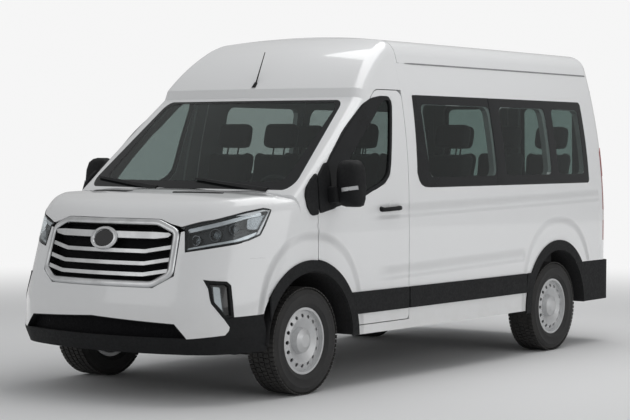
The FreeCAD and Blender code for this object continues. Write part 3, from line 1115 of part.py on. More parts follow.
whole_wall = both_halves(blade_wall)
wipers = [whole_wall.common(wiper(s.wiper_y, s.wiper_y - s.wiper_length, s.screen_foot_z + s.wiper_rise)),
          whole_wall.common(wiper(-s.wiper_y * 0.3, -s.wiper_y * 0.3 - s.wiper_length, s.screen_foot_z + s.wiper_rise))]
cowl = block((s.screen_foot_x - s.wall, -s.bonnet_half + s.skin, s.screen_foot_z - s.wall * 2),
             (s.bonnet_start_x - gap, s.bonnet_half - s.skin, s.screen_foot_z - s.moulding_proud))
cowl = cowl.cut(both_halves(outer_cab)).common(both_halves(outer_nose))
lug = block((s.bonnet_start_x - gap - s.hinge_radius * 2, s.bonnet_hinge_y - s.hinge_length / 2, s.screen_foot_z - s.wall),
            (s.bonnet_start_x - gap / 2, s.bonnet_hinge_y, s.bonnet_hinge_z))
lug = lug.fuse(bonnet_hinge.knuckle(moving=False))
cowl = fused([cowl, lug, mirrored(lug)])
add_node("cowl", Part.makeCompound([cowl, *[w for w in wipers]]))

foot = Part.makeCone(s.aerial_foot, s.aerial_foot / 2, s.aerial_foot * 2)
rod = Part.makeCone(s.aerial_foot / 4, s.aerial_foot / 8, s.aerial_length)
aerial = foot.fuse(rod)
aerial.rotate(Vector(0, 0, 0), Vector(0, 1, 0), -s.aerial_lean)
aerial.translate(Vector(s.screen_head_x - s.cap_step_x - s.aerial_foot, 0, s.screen_head_z + s.cap_step_z + s.aerial_foot / 3))
add_node("aerial", biggest(aerial.cut(both_halves(outer_cab))))

# Checks and export

doc.recompute()
for obj in doc.Objects:
    if any(word in obj.State for word in ("Invalid", "Error")):
        raise RuntimeError(f"{obj.Label} did not recompute")
for node in nodes:
    if node.Shape.isNull() or not node.Shape.isValid() or not node.Shape.Solids:
        raise RuntimeError(f"{node.Label} has no sound shape")
for node in nodes:
    node.Shape.exportStep(f"parts/{node.Label}.step")
print(f"{len(nodes)} sub-parts written")
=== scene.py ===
import logging
import math
from dataclasses import dataclass
from enum import Enum
from typing import Callable, Sequence

import bmesh
import bpy
from mathutils import Matrix, Vector
from mathutils.bvhtree import BVHTree
from mathutils.geometry import delaunay_2d_cdt


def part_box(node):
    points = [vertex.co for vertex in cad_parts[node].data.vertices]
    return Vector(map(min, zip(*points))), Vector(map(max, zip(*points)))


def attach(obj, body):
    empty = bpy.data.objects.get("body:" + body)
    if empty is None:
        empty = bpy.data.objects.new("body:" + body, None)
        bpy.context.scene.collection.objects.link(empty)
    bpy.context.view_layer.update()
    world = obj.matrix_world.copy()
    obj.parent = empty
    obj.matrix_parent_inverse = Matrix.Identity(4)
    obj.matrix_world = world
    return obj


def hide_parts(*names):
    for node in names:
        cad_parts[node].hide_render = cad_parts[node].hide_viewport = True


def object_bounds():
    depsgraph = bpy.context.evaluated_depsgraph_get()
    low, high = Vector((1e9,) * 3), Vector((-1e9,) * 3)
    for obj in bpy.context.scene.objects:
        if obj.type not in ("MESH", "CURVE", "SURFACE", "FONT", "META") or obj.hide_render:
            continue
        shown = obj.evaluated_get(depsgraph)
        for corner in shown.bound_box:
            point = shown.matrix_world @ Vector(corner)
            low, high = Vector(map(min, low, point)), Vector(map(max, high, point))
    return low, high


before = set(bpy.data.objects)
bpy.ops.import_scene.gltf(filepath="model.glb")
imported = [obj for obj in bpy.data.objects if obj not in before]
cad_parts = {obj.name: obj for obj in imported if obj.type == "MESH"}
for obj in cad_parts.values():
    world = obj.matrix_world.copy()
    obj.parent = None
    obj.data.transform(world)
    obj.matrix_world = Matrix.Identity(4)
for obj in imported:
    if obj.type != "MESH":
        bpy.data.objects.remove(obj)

logging.basicConfig(level=logging.INFO, format="%(message)s")
log = logging.getLogger("minibus")
cad_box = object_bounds()

Socket = bpy.types.NodeSocket
Colour = tuple[float, float, float]
Spot = tuple[float, float]
Surface = tuple[Vector, Vector]
Find = Callable[[float, float], Surface]

AXLE_X = 1.683
AXLE_Z = 0.356


class Side(Enum):
    """The two sides of the minibus, with the sign of y on each."""

    LEFT = 1
    RIGHT = -1

    @property
    def word(self) -> str:
        """The side's name as the CAD bodies spell it."""
        return self.name.lower()


class Graph:
    """Adds nodes to one tree and wires them."""

    def __init__(self, tree: bpy.types.NodeTree) -> None:
        """Keeps the material or geometry tree that is filled."""
        self.tree = tree

    def add(self, kind: str, inputs: dict | None = None, **settings: object) -> bpy.types.Node:
        """Adds one node.

        Args:
            kind: The node's Blender type name.
            inputs: Input name or number, and a value or the socket that feeds it.
            settings: The node's own properties.

        Returns:
            The new node.
        """
        node = self.tree.nodes.new(kind)
        for name, value in settings.items():
            setattr(node, name, value)
        for key, value in (inputs or {}).items():
            if isinstance(value, bpy.types.NodeSocket):
                self.tree.links.new(value, node.inputs[key])
            else:
                node.inputs[key].default_value = value
        return node

    def math(self, operation: str, first: object, second: object = 0.0) -> Socket:
        """The answer of a Math node."""
        return self.add("ShaderNodeMath", {0: first, 1: second}, operation=operation).outputs[0]

    def times(self, first: object, second: object) -> Socket:
        """The product of two values."""
        return self.math("MULTIPLY", first, second)

    def plus(self, first: object, second: object) -> Socket:
        """The sum of two values."""
        return self.math("ADD", first, second)

    def minus(self, first: object, second: object) -> Socket:
        """The difference of two values."""
        return self.math("SUBTRACT", first, second)

    def size(self, value: object) -> Socket:
        """A value without its sign."""
        return self.math("ABSOLUTE", value)

    def length(self, across: Socket, up: Socket) -> Socket:
        """The length of a flat vector."""
        return self.math("SQRT", self.plus(self.math("POWER", across, 2.0), self.math("POWER", up, 2.0)))

    def split(self, place: Socket) -> Sequence[Socket]:
        """The three parts of a vector."""
        return self.add("ShaderNodeSeparateXYZ", {0: place}).outputs

    def step(self, value: Socket, low: float, high: float, start: float = 0.0, end: float = 1.0) -> Socket:
        """Adds a smooth step from one value to another.

        Args:
            value: What is stepped.
            low: Where the step starts.
            high: Where it ends.
            start: The answer below low.
            end: The answer above high.

        Returns:
            The stepped value's socket.
        """
        inputs = {"Value": value, "From Min": low, "From Max": high, "To Min": start, "To Max": end}
        return self.add("ShaderNodeMapRange", inputs, interpolation_type="SMOOTHSTEP").outputs["Result"]

    def mix(self, factor: Socket, first: object, second: object) -> Socket:
        """Mixes two colours.

        Args:
            factor: 0 shows the first, 1 the second.
            first: A colour or its socket.
            second: A colour or its socket.

        Returns:
            The mixed colour's socket.
        """
        inputs = {0: factor}
        for number, value in ((6, first), (7, second)):
            inputs[number] = value if isinstance(value, bpy.types.NodeSocket) else (*value, 1.0)
        return self.add("ShaderNodeMix", inputs, data_type="RGBA").outputs[2]

    def blend(self, factor: Socket, first: Socket, second: Socket) -> Socket:
        """Mixes two shaders."""
        return self.add("ShaderNodeMixShader", {0: factor, 1: first, 2: second}).outputs[0]

    def noise(self, place: Socket, scale: float, detail: float = 2.0) -> Socket:
        """A noise pattern's value, with its lumps in a metre and its finer layers."""
        return self.add("ShaderNodeTexNoise", {"Vector": place, "Scale": scale, "Detail": detail}).outputs[0]

    def bump(self, strength: float, distance: float, height: Socket, **under: Socket) -> Socket:
        """The surface direction over a height, with the direction under it as Normal."""
        inputs = {"Strength": strength, "Distance": distance, "Height": height, **under}
        return self.add("ShaderNodeBump", inputs).outputs[0]

    def rounded_box(self, across: Socket, up: Socket, low: Spot, high: Spot, soft: float) -> Socket:
        """Marks the inside of a box with round corners.

        Args:
            across: The first coordinate.
            up: The second coordinate.
            low: The box's lower corner.
            high: Its upper corner.
            soft: The corner radius in metres.

        Returns:
            A socket that is 1 inside and 0 outside.
        """
        reach = []
        for value, first, last in ((across, low[0], high[0]), (up, low[1], high[1])):
            away = self.size(self.minus(value, (first + last) / 2))
            reach.append(self.math("MAXIMUM", self.minus(away, (last - first) / 2 - soft), 0.0))
        return self.math("LESS_THAN", self.length(*reach), soft)


def shaded(colour: Colour, share: float) -> Colour:
    """A colour times a share."""
    return tuple(share * part for part in colour)


@dataclass(frozen=True)
class Finish:
    """A surface finish that is made once as a node material."""

    name: str
    colour: Colour
    roughness: float = 0.5
    metallic: float = 0.0
    coat: float = 0.0
    sheen: float = 0.0
    grain: float = 0.0
    grain_scale: float = 900.0
    gleam: float = 0.5

    def material(self) -> bpy.types.Material:
        """Gives the finish's material, which is made at its first use.

        Returns:
            The material.
        """
        found = bpy.data.materials.get(self.name)
        if found:
            return found
        made = bpy.data.materials.new(self.name)
        made.use_nodes = True
        made.node_tree.nodes.clear()
        graph = Graph(made.node_tree)
        shader = self.shade(graph, graph.add("ShaderNodeTexCoord").outputs["Object"])
        graph.add("ShaderNodeOutputMaterial", {"Surface": shader})
        return made

    def principled(self, graph: Graph, **inputs: object) -> Socket:
        """Adds the finish's main shader.

        Args:
            graph: The material's graph.
            inputs: Its inputs beside the finish's own constants, with _ for the space in a name.

        Returns:
            The shader's socket.
        """
        fixed = {
            "Metallic": self.metallic, "Coat Weight": self.coat, "Coat Roughness": 0.04,
            "Sheen Weight": self.sheen, "Specular IOR Level": self.gleam,
        }
        given = {name.replace("_", " "): value for name, value in inputs.items()}
        return graph.add("ShaderNodeBsdfPrincipled", {**fixed, **given}).outputs[0]

    def shade(self, graph: Graph, place: Socket) -> Socket:
        """Builds the shader: a mottled colour, uneven roughness and a fine grain.

        Args:
            graph: The material's graph.
            place: The place on the object.

        Returns:
            The shader's socket.
        """
        cloud = graph.step(graph.noise(place, 7.0, 4.0), 0.35, 0.7)
        colour = graph.mix(cloud, self.colour, shaded(self.colour, 0.8))
        lowest, highest = self.roughness * 0.85, min(1.0, self.roughness * 1.15)
        rough = graph.step(graph.noise(place, 60.0, 3.0), 0.2, 0.8, lowest, highest)
        if not self.grain:
            return self.principled(graph, Base_Color=colour, Roughness=rough)
        cells = graph.add("ShaderNodeTexVoronoi", {"Vector": place, "Scale": self.grain_scale})
        normal = graph.bump(self.grain, 0.4 / self.grain_scale, cells.outputs["Distance"])
        return self.principled(graph, Base_Color=colour, Roughness=rough, Normal=normal)


@dataclass(frozen=True)
class Paint(Finish):
    """White body paint outside, with grey lining on the faces that look into the cabin."""

    LINING = (0.33, 0.34, 0.34)
    LINING_ROUGHNESS = 0.75
    CABIN_REAR, CABIN_FRONT, CABIN_HEIGHT, BULKHEAD = -2.2, 0.9, 1.35, 1.75
    INWARD = (-0.35, -0.3)
    DIRT, DIRT_HEIGHT, DIRT_MOST = (0.80, 0.78, 0.74), (0.3, 0.75), 0.55
    FLANK = (0.86, 0.90)
    CREASES = ((1.179, -0.0165, -2.45, 0.80, 0.35), (0.755, -0.0206, -1.16, 0.75, 0.22))
    TUCK, TUCK_HEIGHT, SHELF, SHELF_FOOT, SHELF_TOP = -0.028, 0.080, 0.022, -0.040, 0.002
    BULGE, BULGE_POWER, BULGE_X, BULGE_HEIGHT = 0.045, 2.4, 1.690, 0.712

    def inner_faces(self, graph: Graph, place: Socket) -> Socket:
        """Marks the faces that look towards the cabin's axis.

        Args:
            graph: The material's graph.
            place: The place on the object.

        Returns:
            A socket that is 1 on the inner faces.
        """
        x = graph.split(place)[0]
        middle = graph.add("ShaderNodeClamp", {"Value": x, "Min": self.CABIN_REAR, "Max": self.CABIN_FRONT})
        centre = graph.add("ShaderNodeCombineXYZ", {0: middle.outputs[0], 2: self.CABIN_HEIGHT}).outputs[0]
        away = graph.add("ShaderNodeVectorMath", {0: place, 1: centre}, operation="SUBTRACT").outputs[0]
        away = graph.add("ShaderNodeVectorMath", {0: away}, operation="NORMALIZE").outputs[0]
        normal = graph.add("ShaderNodeTexCoord").outputs["Normal"]
        inputs = {0: away, 1: normal}
        dot = graph.add("ShaderNodeVectorMath", inputs, operation="DOT_PRODUCT").outputs["Value"]
        facing = graph.step(dot, *self.INWARD, 1.0, 0.0)
        return graph.times(facing, graph.math("LESS_THAN", x, self.BULKHEAD))

    def pressings(self, graph: Graph, place: Socket) -> Socket:
        """Shapes the two side creases and the bulges over the wheel arches.

        Args:
            graph: The material's graph.
            place: The place on the object.

        Returns:
            A socket with the height in metres.
        """
        x, across, up = graph.split(place)
        reach = graph.step(x, 1.60, 1.78, 0.600, 0.520)
        wide = graph.math("DIVIDE", graph.minus(graph.size(x), self.BULGE_X), reach)
        tall = graph.math("DIVIDE", graph.minus(up, AXLE_Z), self.BULGE_HEIGHT)
        powers = [graph.math("POWER", graph.size(part), self.BULGE_POWER) for part in (wide, tall)]
        total = graph.step(graph.plus(*powers), 0.80, 1.06, self.BULGE, 0.0)
        for start, rise, rear, front, fade in self.CREASES:
            above = graph.minus(up, graph.plus(graph.times(x, rise), start))
            tuck = graph.step(above, 0.0, self.TUCK_HEIGHT, self.TUCK, 0.0)
            shelf = graph.step(above, self.SHELF_FOOT, self.SHELF_TOP, self.SHELF, 0.0)
            ends = graph.times(graph.step(x, front, front + fade, 1.0, 0.0), graph.step(x, rear, rear + 0.06))
            total = graph.plus(total, graph.times(graph.plus(tuck, shelf), ends))
        return graph.times(total, graph.step(graph.size(across), *self.FLANK))

    def shade(self, graph: Graph, place: Socket) -> Socket:
        """Builds the paint: dust low down, orange peel, the pressings and the lining.

        Args:
            graph: The material's graph.
            place: The place on the object.

        Returns:
            The shader's socket.
        """
        inner = self.inner_faces(graph, place)
        low_down = graph.step(graph.split(place)[2], *self.DIRT_HEIGHT, self.DIRT_MOST, 0.0)
        dust = graph.times(low_down, graph.noise(place, 9.0, 6.0))
        soiled = tuple(part * share for part, share in zip(self.colour, self.DIRT))
        colour = graph.mix(inner, graph.mix(dust, self.colour, soiled), self.LINING)
        clean = graph.step(inner, 0.0, 1.0, self.roughness, self.LINING_ROUGHNESS)
        pressed = graph.bump(1.0, 1.0, self.pressings(graph, place))
        return self.principled(
            graph, Base_Color=colour, Roughness=graph.plus(clean, graph.times(dust, 0.3)),
            Normal=graph.bump(0.05, 0.0006, graph.noise(place, 260.0, 1.0), Normal=pressed),
            Coat_Weight=graph.step(inner, 0.0, 1.0, 1.0, 0.0),
        )


@dataclass(frozen=True)
class Glass(Finish):
    """Thin tinted glass, with a printed black border round its openings if it has any."""

    openings: tuple[tuple[Spot, Spot, float], ...] = ()
    over_width: bool = False
    taper: float = 0.0

    TAPER_FOOT = 1.345
    SHINE = (0.95, 0.97, 0.97, 1.0)
    INKS = ((0.012, 0.013, 0.014), (0.02, 0.021, 0.022))

    def clear(self, graph: Graph) -> Socket:
        """Builds the see-through shader: tinted, with a reflection that grows at a low angle.

        Args:
            graph: The material's graph.

        Returns:
            The shader's socket.
        """
        facing = graph.add("ShaderNodeLayerWeight", {"Blend": 0.5}).outputs["Facing"]
        edge = graph.plus(graph.times(graph.math("POWER", facing, 5.0), 0.7), 0.03)
        through = graph.add("ShaderNodeBsdfTransparent", {"Color": (*self.colour, 1.0)})
        gloss = {"Color": self.SHINE, "Roughness": self.roughness}
        mirror = graph.add("ShaderNodeBsdfGlossy", gloss)
        return graph.blend(edge, through.outputs[0], mirror.outputs[0])

    def shade(self, graph: Graph, place: Socket) -> Socket:
        """Builds the glass.

        Args:
            graph: The material's graph.
            place: The place on the object.

        Returns:
            The shader's socket.
        """
        pane = self.clear(graph)
        if not self.openings:
            return pane
        x, y, up = graph.split(place)
        slant = graph.times(graph.minus(up, self.TAPER_FOOT), self.taper)
        across = graph.plus(graph.size(y) if self.over_width else x, slant)
        seen = 0.0
        for low, high, soft in self.openings:
            seen = graph.math("MAXIMUM", seen, graph.rounded_box(across, up, low, high, soft))
        ink = graph.mix(graph.noise(place, 700.0), *self.INKS)
        inputs = {"Base Color": ink, "Roughness": 0.12, "Specular IOR Level": 0.2}
        return graph.blend(seen, graph.add("ShaderNodeBsdfPrincipled", inputs).outputs[0], pane)


@dataclass(frozen=True)
class Rubber(Finish):
    """Tyre rubber with fine rings on the sidewall and a dusty tread."""

    DUST = (0.060, 0.057, 0.052)
    RINGS = 1400.0
    WALL_END = (0.325, 0.335)

    def shade(self, graph: Graph, place: Socket) -> Socket:
        """Builds the rubber.

        Args:
            graph: The material's graph.
            place: The place on the object.

        Returns:
            The shader's socket.
        """
        x, _, up = graph.split(place)
        radius = graph.length(graph.minus(graph.size(x), AXLE_X), graph.minus(up, AXLE_Z))
        waves = graph.math("SINE", graph.times(radius, self.RINGS))
        rings = graph.times(waves, graph.step(radius, *self.WALL_END, 1.0, 0.0))
        grain = graph.noise(place, 500.0, 3.0)
        dust = graph.times(graph.noise(place, 12.0, 5.0), graph.step(radius, 0.3, AXLE_Z, 0.35, 0.9))
        return self.principled(
            graph, Base_Color=graph.mix(dust, self.colour, self.DUST),
            Roughness=graph.step(grain, 0.2, 0.8, self.roughness * 0.9, self.roughness * 1.1),
            Normal=graph.bump(0.35, 0.0008, graph.plus(graph.times(rings, 0.25), grain)),
        )


@dataclass(frozen=True)
class WheelPaint(Finish):
    """Silver wheel paint with metal flake and a little brake dust."""

    DUST = (0.20, 0.18, 0.16)
    FLAKES = 2600.0

    def shade(self, graph: Graph, place: Socket) -> Socket:
        """Builds the wheel paint.

        Args:
            graph: The material's graph.
            place: The place on the object.

        Returns:
            The shader's socket.
        """
        cells = graph.add("ShaderNodeTexVoronoi", {"Vector": place, "Scale": self.FLAKES})
        flake = graph.split(cells.outputs["Color"])[0]
        tone = graph.mix(graph.step(flake, 0.0, 1.0, 0.0, 0.25), self.colour, shaded(self.colour, 0.72))
        cloud = graph.noise(place, 40.0, 3.0)
        return self.principled(
            graph, Base_Color=graph.mix(graph.times(graph.noise(place, 16.0, 6.0), 0.3), tone, self.DUST),
            Roughness=graph.step(cloud, 0.2, 0.8, self.roughness, self.roughness * 1.3),
            Normal=graph.bump(0.05, 0.0003, flake),
        )


@dataclass(frozen=True)
class Cloth(Finish):
    """Woven seat cloth with a plain weave, a little paler in patches of wear."""

    WEAVE = 620.0

    def shade(self, graph: Graph, place: Socket) -> Socket:
        """Builds the cloth.

        Args:
            graph: The material's graph.
            place: The place on the object.

        Returns:
            The shader's socket.
        """
        x, y, up = graph.split(place)
        pitch = self.WEAVE * math.pi
        warp, weft = (graph.math("SINE", graph.times(part, pitch)) for part in (y, graph.plus(x, up)))
        thread = graph.times(warp, weft)
        wear = graph.noise(place, 5.0, 5.0)
        colour = graph.mix(graph.step(wear, 0.35, 0.75), self.colour, shaded(self.colour, 1.5))
        shadow = graph.step(thread, -1.0, 1.0, 0.0, 0.5)
        return self.principled(
            graph, Base_Color=graph.mix(shadow, colour, shaded(self.colour, 0.4)),
            Roughness=graph.step(wear, 0.2, 0.8, self.roughness * 0.9, self.roughness),
            Normal=graph.bump(0.5, 0.0005, thread),
        )


@dataclass(frozen=True)
class RedLens(Finish):
    """Moulded red lens with fine level ribs and a clear band."""

    RIBS = 520.0
    CLEAR = (0.62, 0.60, 0.58)
    BAND_FOOT, BAND_TOP = (1.02, 1.03), (1.11, 1.12)

    def shade(self, graph: Graph, place: Socket) -> Socket:
        """Builds the lens.

        Args:
            graph: The material's graph.
            place: The place on the object.

        Returns:
            The shader's socket.
        """
        up = graph.split(place)[2]
        ribs = graph.math("SINE", graph.times(up, self.RIBS))
        band = graph.times(graph.step(up, *self.BAND_FOOT), graph.step(up, *self.BAND_TOP, 1.0, 0.0))
        colour = graph.mix(graph.step(ribs, -1.0, 1.0), self.colour, shaded(self.colour, 0.35))
        return self.principled(
            graph, Base_Color=graph.mix(graph.times(band, 0.85), colour, self.CLEAR),
            Roughness=graph.step(graph.noise(place, 30.0), 0.2, 0.8, self.roughness, self.roughness * 1.4),
            Normal=graph.bump(0.25, 0.001, ribs),
        )


class Finishes:
    """Every finish that the minibus wears."""

    PAINT = Paint("white_paint", (0.80, 0.805, 0.81), 0.32)
    TRIM = Finish(
        "grained_black_plastic", (0.011, 0.0115, 0.0125), 0.66, grain=0.5, grain_scale=700.0, gleam=0.22
    )
    GLOSS_TRIM = Finish("gloss_black_plastic", (0.010, 0.010, 0.011), 0.16, coat=0.5)
    SATIN_CHROME = Finish("satin_chrome", (0.70, 0.71, 0.72), 0.36, metallic=1.0)
    SILVER = Finish("silver_plastic", (0.62, 0.63, 0.64), 0.3, metallic=0.6)
    DARK_LAMP = Finish("lamp_housing", (0.018, 0.019, 0.021), 0.35)
    REFLECTOR = Finish("lamp_reflector", (0.86, 0.87, 0.88), 0.1, metallic=1.0)
    LENS = Glass("clear_lens", (0.93, 0.95, 0.96), 0.02)
    SCREEN = Glass(
        "screen_glass", (0.68, 0.72, 0.71), 0.02, openings=(((-0.1, 1.40), (0.80, 1.945), 0.06),),
        over_width=True, taper=0.05,
    )
    SIDE_GLASS = Glass("side_glass_finish", (0.58, 0.62, 0.61), 0.02, openings=(
        ((-0.73, 1.42), (0.245, 1.945), 0.05), ((-1.61, 1.42), (-0.87, 1.945), 0.05),
        ((-2.19, 1.42), (-1.72, 1.945), 0.05),
    ))
    DOOR_GLASS = Glass("door_glass_finish", (0.54, 0.59, 0.58), 0.02)
    REAR_GLASS = Glass(
        "rear_glass_finish", (0.5, 0.58, 0.56), 0.02, openings=(((0.14, 1.385), (0.62, 1.97), 0.05),),
        over_width=True,
    )
    TYRE = Rubber("tyre_rubber_finish", (0.018, 0.018, 0.019), 0.78)
    SEAL = Finish("black_rubber_seal", (0.014, 0.014, 0.015), 0.7, grain=0.2, grain_scale=500.0)
    WHEEL = WheelPaint("silver_wheel_paint", (0.66, 0.67, 0.68), 0.36, metallic=0.45, coat=0.4)
    CLOTH = Cloth("black_seat_cloth", (0.028, 0.029, 0.031), 0.95, sheen=0.25)
    DASH = Finish("dark_dash_plastic", (0.045, 0.047, 0.05), 0.6, grain=0.5, grain_scale=600.0)
    GREY_TRIM = Finish("grey_cabin_plastic", (0.24, 0.245, 0.25), 0.6, grain=0.4, grain_scale=600.0)
    FLOOR_MAT = Finish("ribbed_floor_mat", (0.055, 0.056, 0.06), 0.8, grain=0.6, grain_scale=260.0)
    CHASSIS = Finish("chassis_paint", (0.022, 0.022, 0.023), 0.55, grain=0.3, grain_scale=300.0)
    DARK_CHROME = Finish("dark_chrome", (0.16, 0.165, 0.17), 0.18, metallic=1.0)
    SMOKED = Finish("smoked_chrome", (0.30, 0.31, 0.32), 0.28, metallic=1.0)
    BORDER = Finish("printed_border", (0.015, 0.016, 0.017), 0.12, gleam=0.2)
    MESH = Finish("dark_mesh_plastic", (0.004, 0.004, 0.005), 0.7, grain=0.8, grain_scale=160.0, gleam=0.1)
    STEEL = Finish("bare_steel", (0.42, 0.41, 0.39), 0.4, metallic=1.0, grain=0.2, grain_scale=240.0)
    RED = RedLens("red_lamp_lens", (0.40, 0.004, 0.006), 0.16, coat=0.25)
    MIRROR = Finish("mirror_face", (0.90, 0.91, 0.91), 0.03, metallic=1.0)


def added(name: str, data: bpy.types.ID) -> bpy.types.Object:
    """Puts some data in the scene as an object.

    Args:
        name: The object's name.
        data: Its mesh, camera or lamp.

    Returns:
        The object.
    """
    made = bpy.data.objects.new(name, data)
    bpy.context.scene.collection.objects.link(made)
    return made


@dataclass(frozen=True)
class PhotoCamera:
    """The photograph's camera in the minibus's own frame."""

    place: tuple[float, float, float] = (11.350, 8.081, 1.640)
    yaw: float = 216.0965
    pitch: float = -2.00366
    roll: float = 0.2032
    focal: float = 1827.63
    wide: int = 630
    sensor: float = 36.0
    farthest: float = 200.0

    def build(self) -> None:
        """Makes the scene's camera."""
        yaw, pitch, roll = (math.radians(angle) for angle in (self.yaw, self.pitch, self.roll))
        ahead = Vector((math.cos(pitch) * math.cos(yaw), math.cos(pitch) * math.sin(yaw), math.sin(pitch)))
        level = ahead.cross(Vector((0, 0, 1))).normalized()
        upright = level.cross(ahead)
        right = level * math.cos(roll) + upright * math.sin(roll)
        up = upright * math.cos(roll) - level * math.sin(roll)
        data = bpy.data.cameras.new("photo_camera")
        data.sensor_width = self.sensor
        data.sensor_fit = "HORIZONTAL"
        data.lens = self.focal * self.sensor / self.wide
        data.clip_end = self.farthest
        seen = added("photo_camera", data)
        seen.matrix_world = Matrix.Translation(self.place) @ Matrix((right, up, -ahead)).transposed().to_4x4()
        bpy.context.scene.camera = seen


def modified(made: bpy.types.Object) -> None:
    """Turns an object's modifiers into plain mesh.

    Args:
        made: The object, whose modifiers are removed.
    """
    bpy.context.view_layer.update()
    seen = made.evaluated_get(bpy.context.evaluated_depsgraph_get())
    mesh = bpy.data.meshes.new_from_object(seen)
    made.modifiers.clear()
    made.data = mesh


def looped(points: Sequence) -> list[tuple]:
    """Each point of a closed outline with the one after it."""
    return list(zip(points, [*points[1:], points[0]]))


def resampled(points: Sequence[Spot], step: float) -> list[Spot]:
    """Divides a closed flat outline in even short runs.

    Args:
        points: The outline's corners.
        step: The longest run.

    Returns:
        The corners with points between them.
    """
    out = []
    for first, second in looped(points):
        pieces = max(1, math.ceil(math.dist(first, second) / step))
        for part in range(pieces):
            share = part / pieces
            out.append((first[0] + (second[0] - first[0]) * share, first[1] + (second[1] - first[1]) * share))
    return out


def rounded(points: Sequence[Spot], radius: float, parts: int = 5) -> list[Spot]:
    """Rounds the corners of a closed flat outline.

    Args:
        points: The outline's corners.
        radius: How far from each corner the round starts.
        parts: Runs in each round.

    Returns:
        The rounded outline.
    """
    out = []
    for number, corner in enumerate(points):
        here = Vector(corner)
        before, after = Vector(points[number - 1]) - here, Vector(points[(number + 1) % len(points)]) - here
        reach = min(radius, before.length * 0.45, after.length * 0.45)
        first, last = here + before.normalized() * reach, here + after.normalized() * reach
        for part in range(parts + 1):
            share = part / parts
            out.append(tuple(first * (1 - share) ** 2 + here * 2 * share * (1 - share) + last * share**2))
    return out


def inset(outline: Sequence[Spot], gap: float) -> list[Spot]:
    """Moves a closed outline inwards.

    Args:
        outline: The outline's points.
        gap: How far each side moves, negative outwards.

    Returns:
        The moved outline.
    """
    area = sum(a[0] * b[1] - b[0] * a[1] for a, b in looped(outline))
    sign = 1.0 if area > 0 else -1.0
    out = []
    for number, here in enumerate(outline):
        before, after = outline[number - 1], outline[(number + 1) % len(outline)]
        first = Vector((here[0] - before[0], here[1] - before[1])).normalized()
        second = Vector((after[0] - here[0], after[1] - here[1])).normalized()
        normal = Vector((-(first.y + second.y), first.x + second.x)) * sign
        if normal.length < 1e-6:
            normal = Vector((-first.y, first.x)) * sign
        normal.normalize()
        square = max(0.4, normal.dot(Vector((-first.y, first.x)) * sign))
        out.append((here[0] + normal.x * gap / square, here[1] + normal.y * gap / square))
    return out


def within(spot: Spot, outline: Sequence[Spot]) -> bool:
    """Tells whether a spot is inside a closed outline.

    Args:
        spot: The flat point.
        outline: The outline's points.

    Returns:
        True for a spot inside.
    """
    inside = False
    for first, second in looped(outline):
        if (first[1] > spot[1]) != (second[1] > spot[1]):
            cross = first[0] + (spot[1] - first[1]) * (second[0] - first[0]) / (second[1] - first[1])
            inside = inside != (spot[0] < cross)
    return inside


def both(half: Sequence[Spot]) -> list[Spot]:
    """Closes the left half of an outline with its mirror image."""
    return [*half, *[(-across, up) for across, up in reversed(half) if abs(across) > 1e-6]]


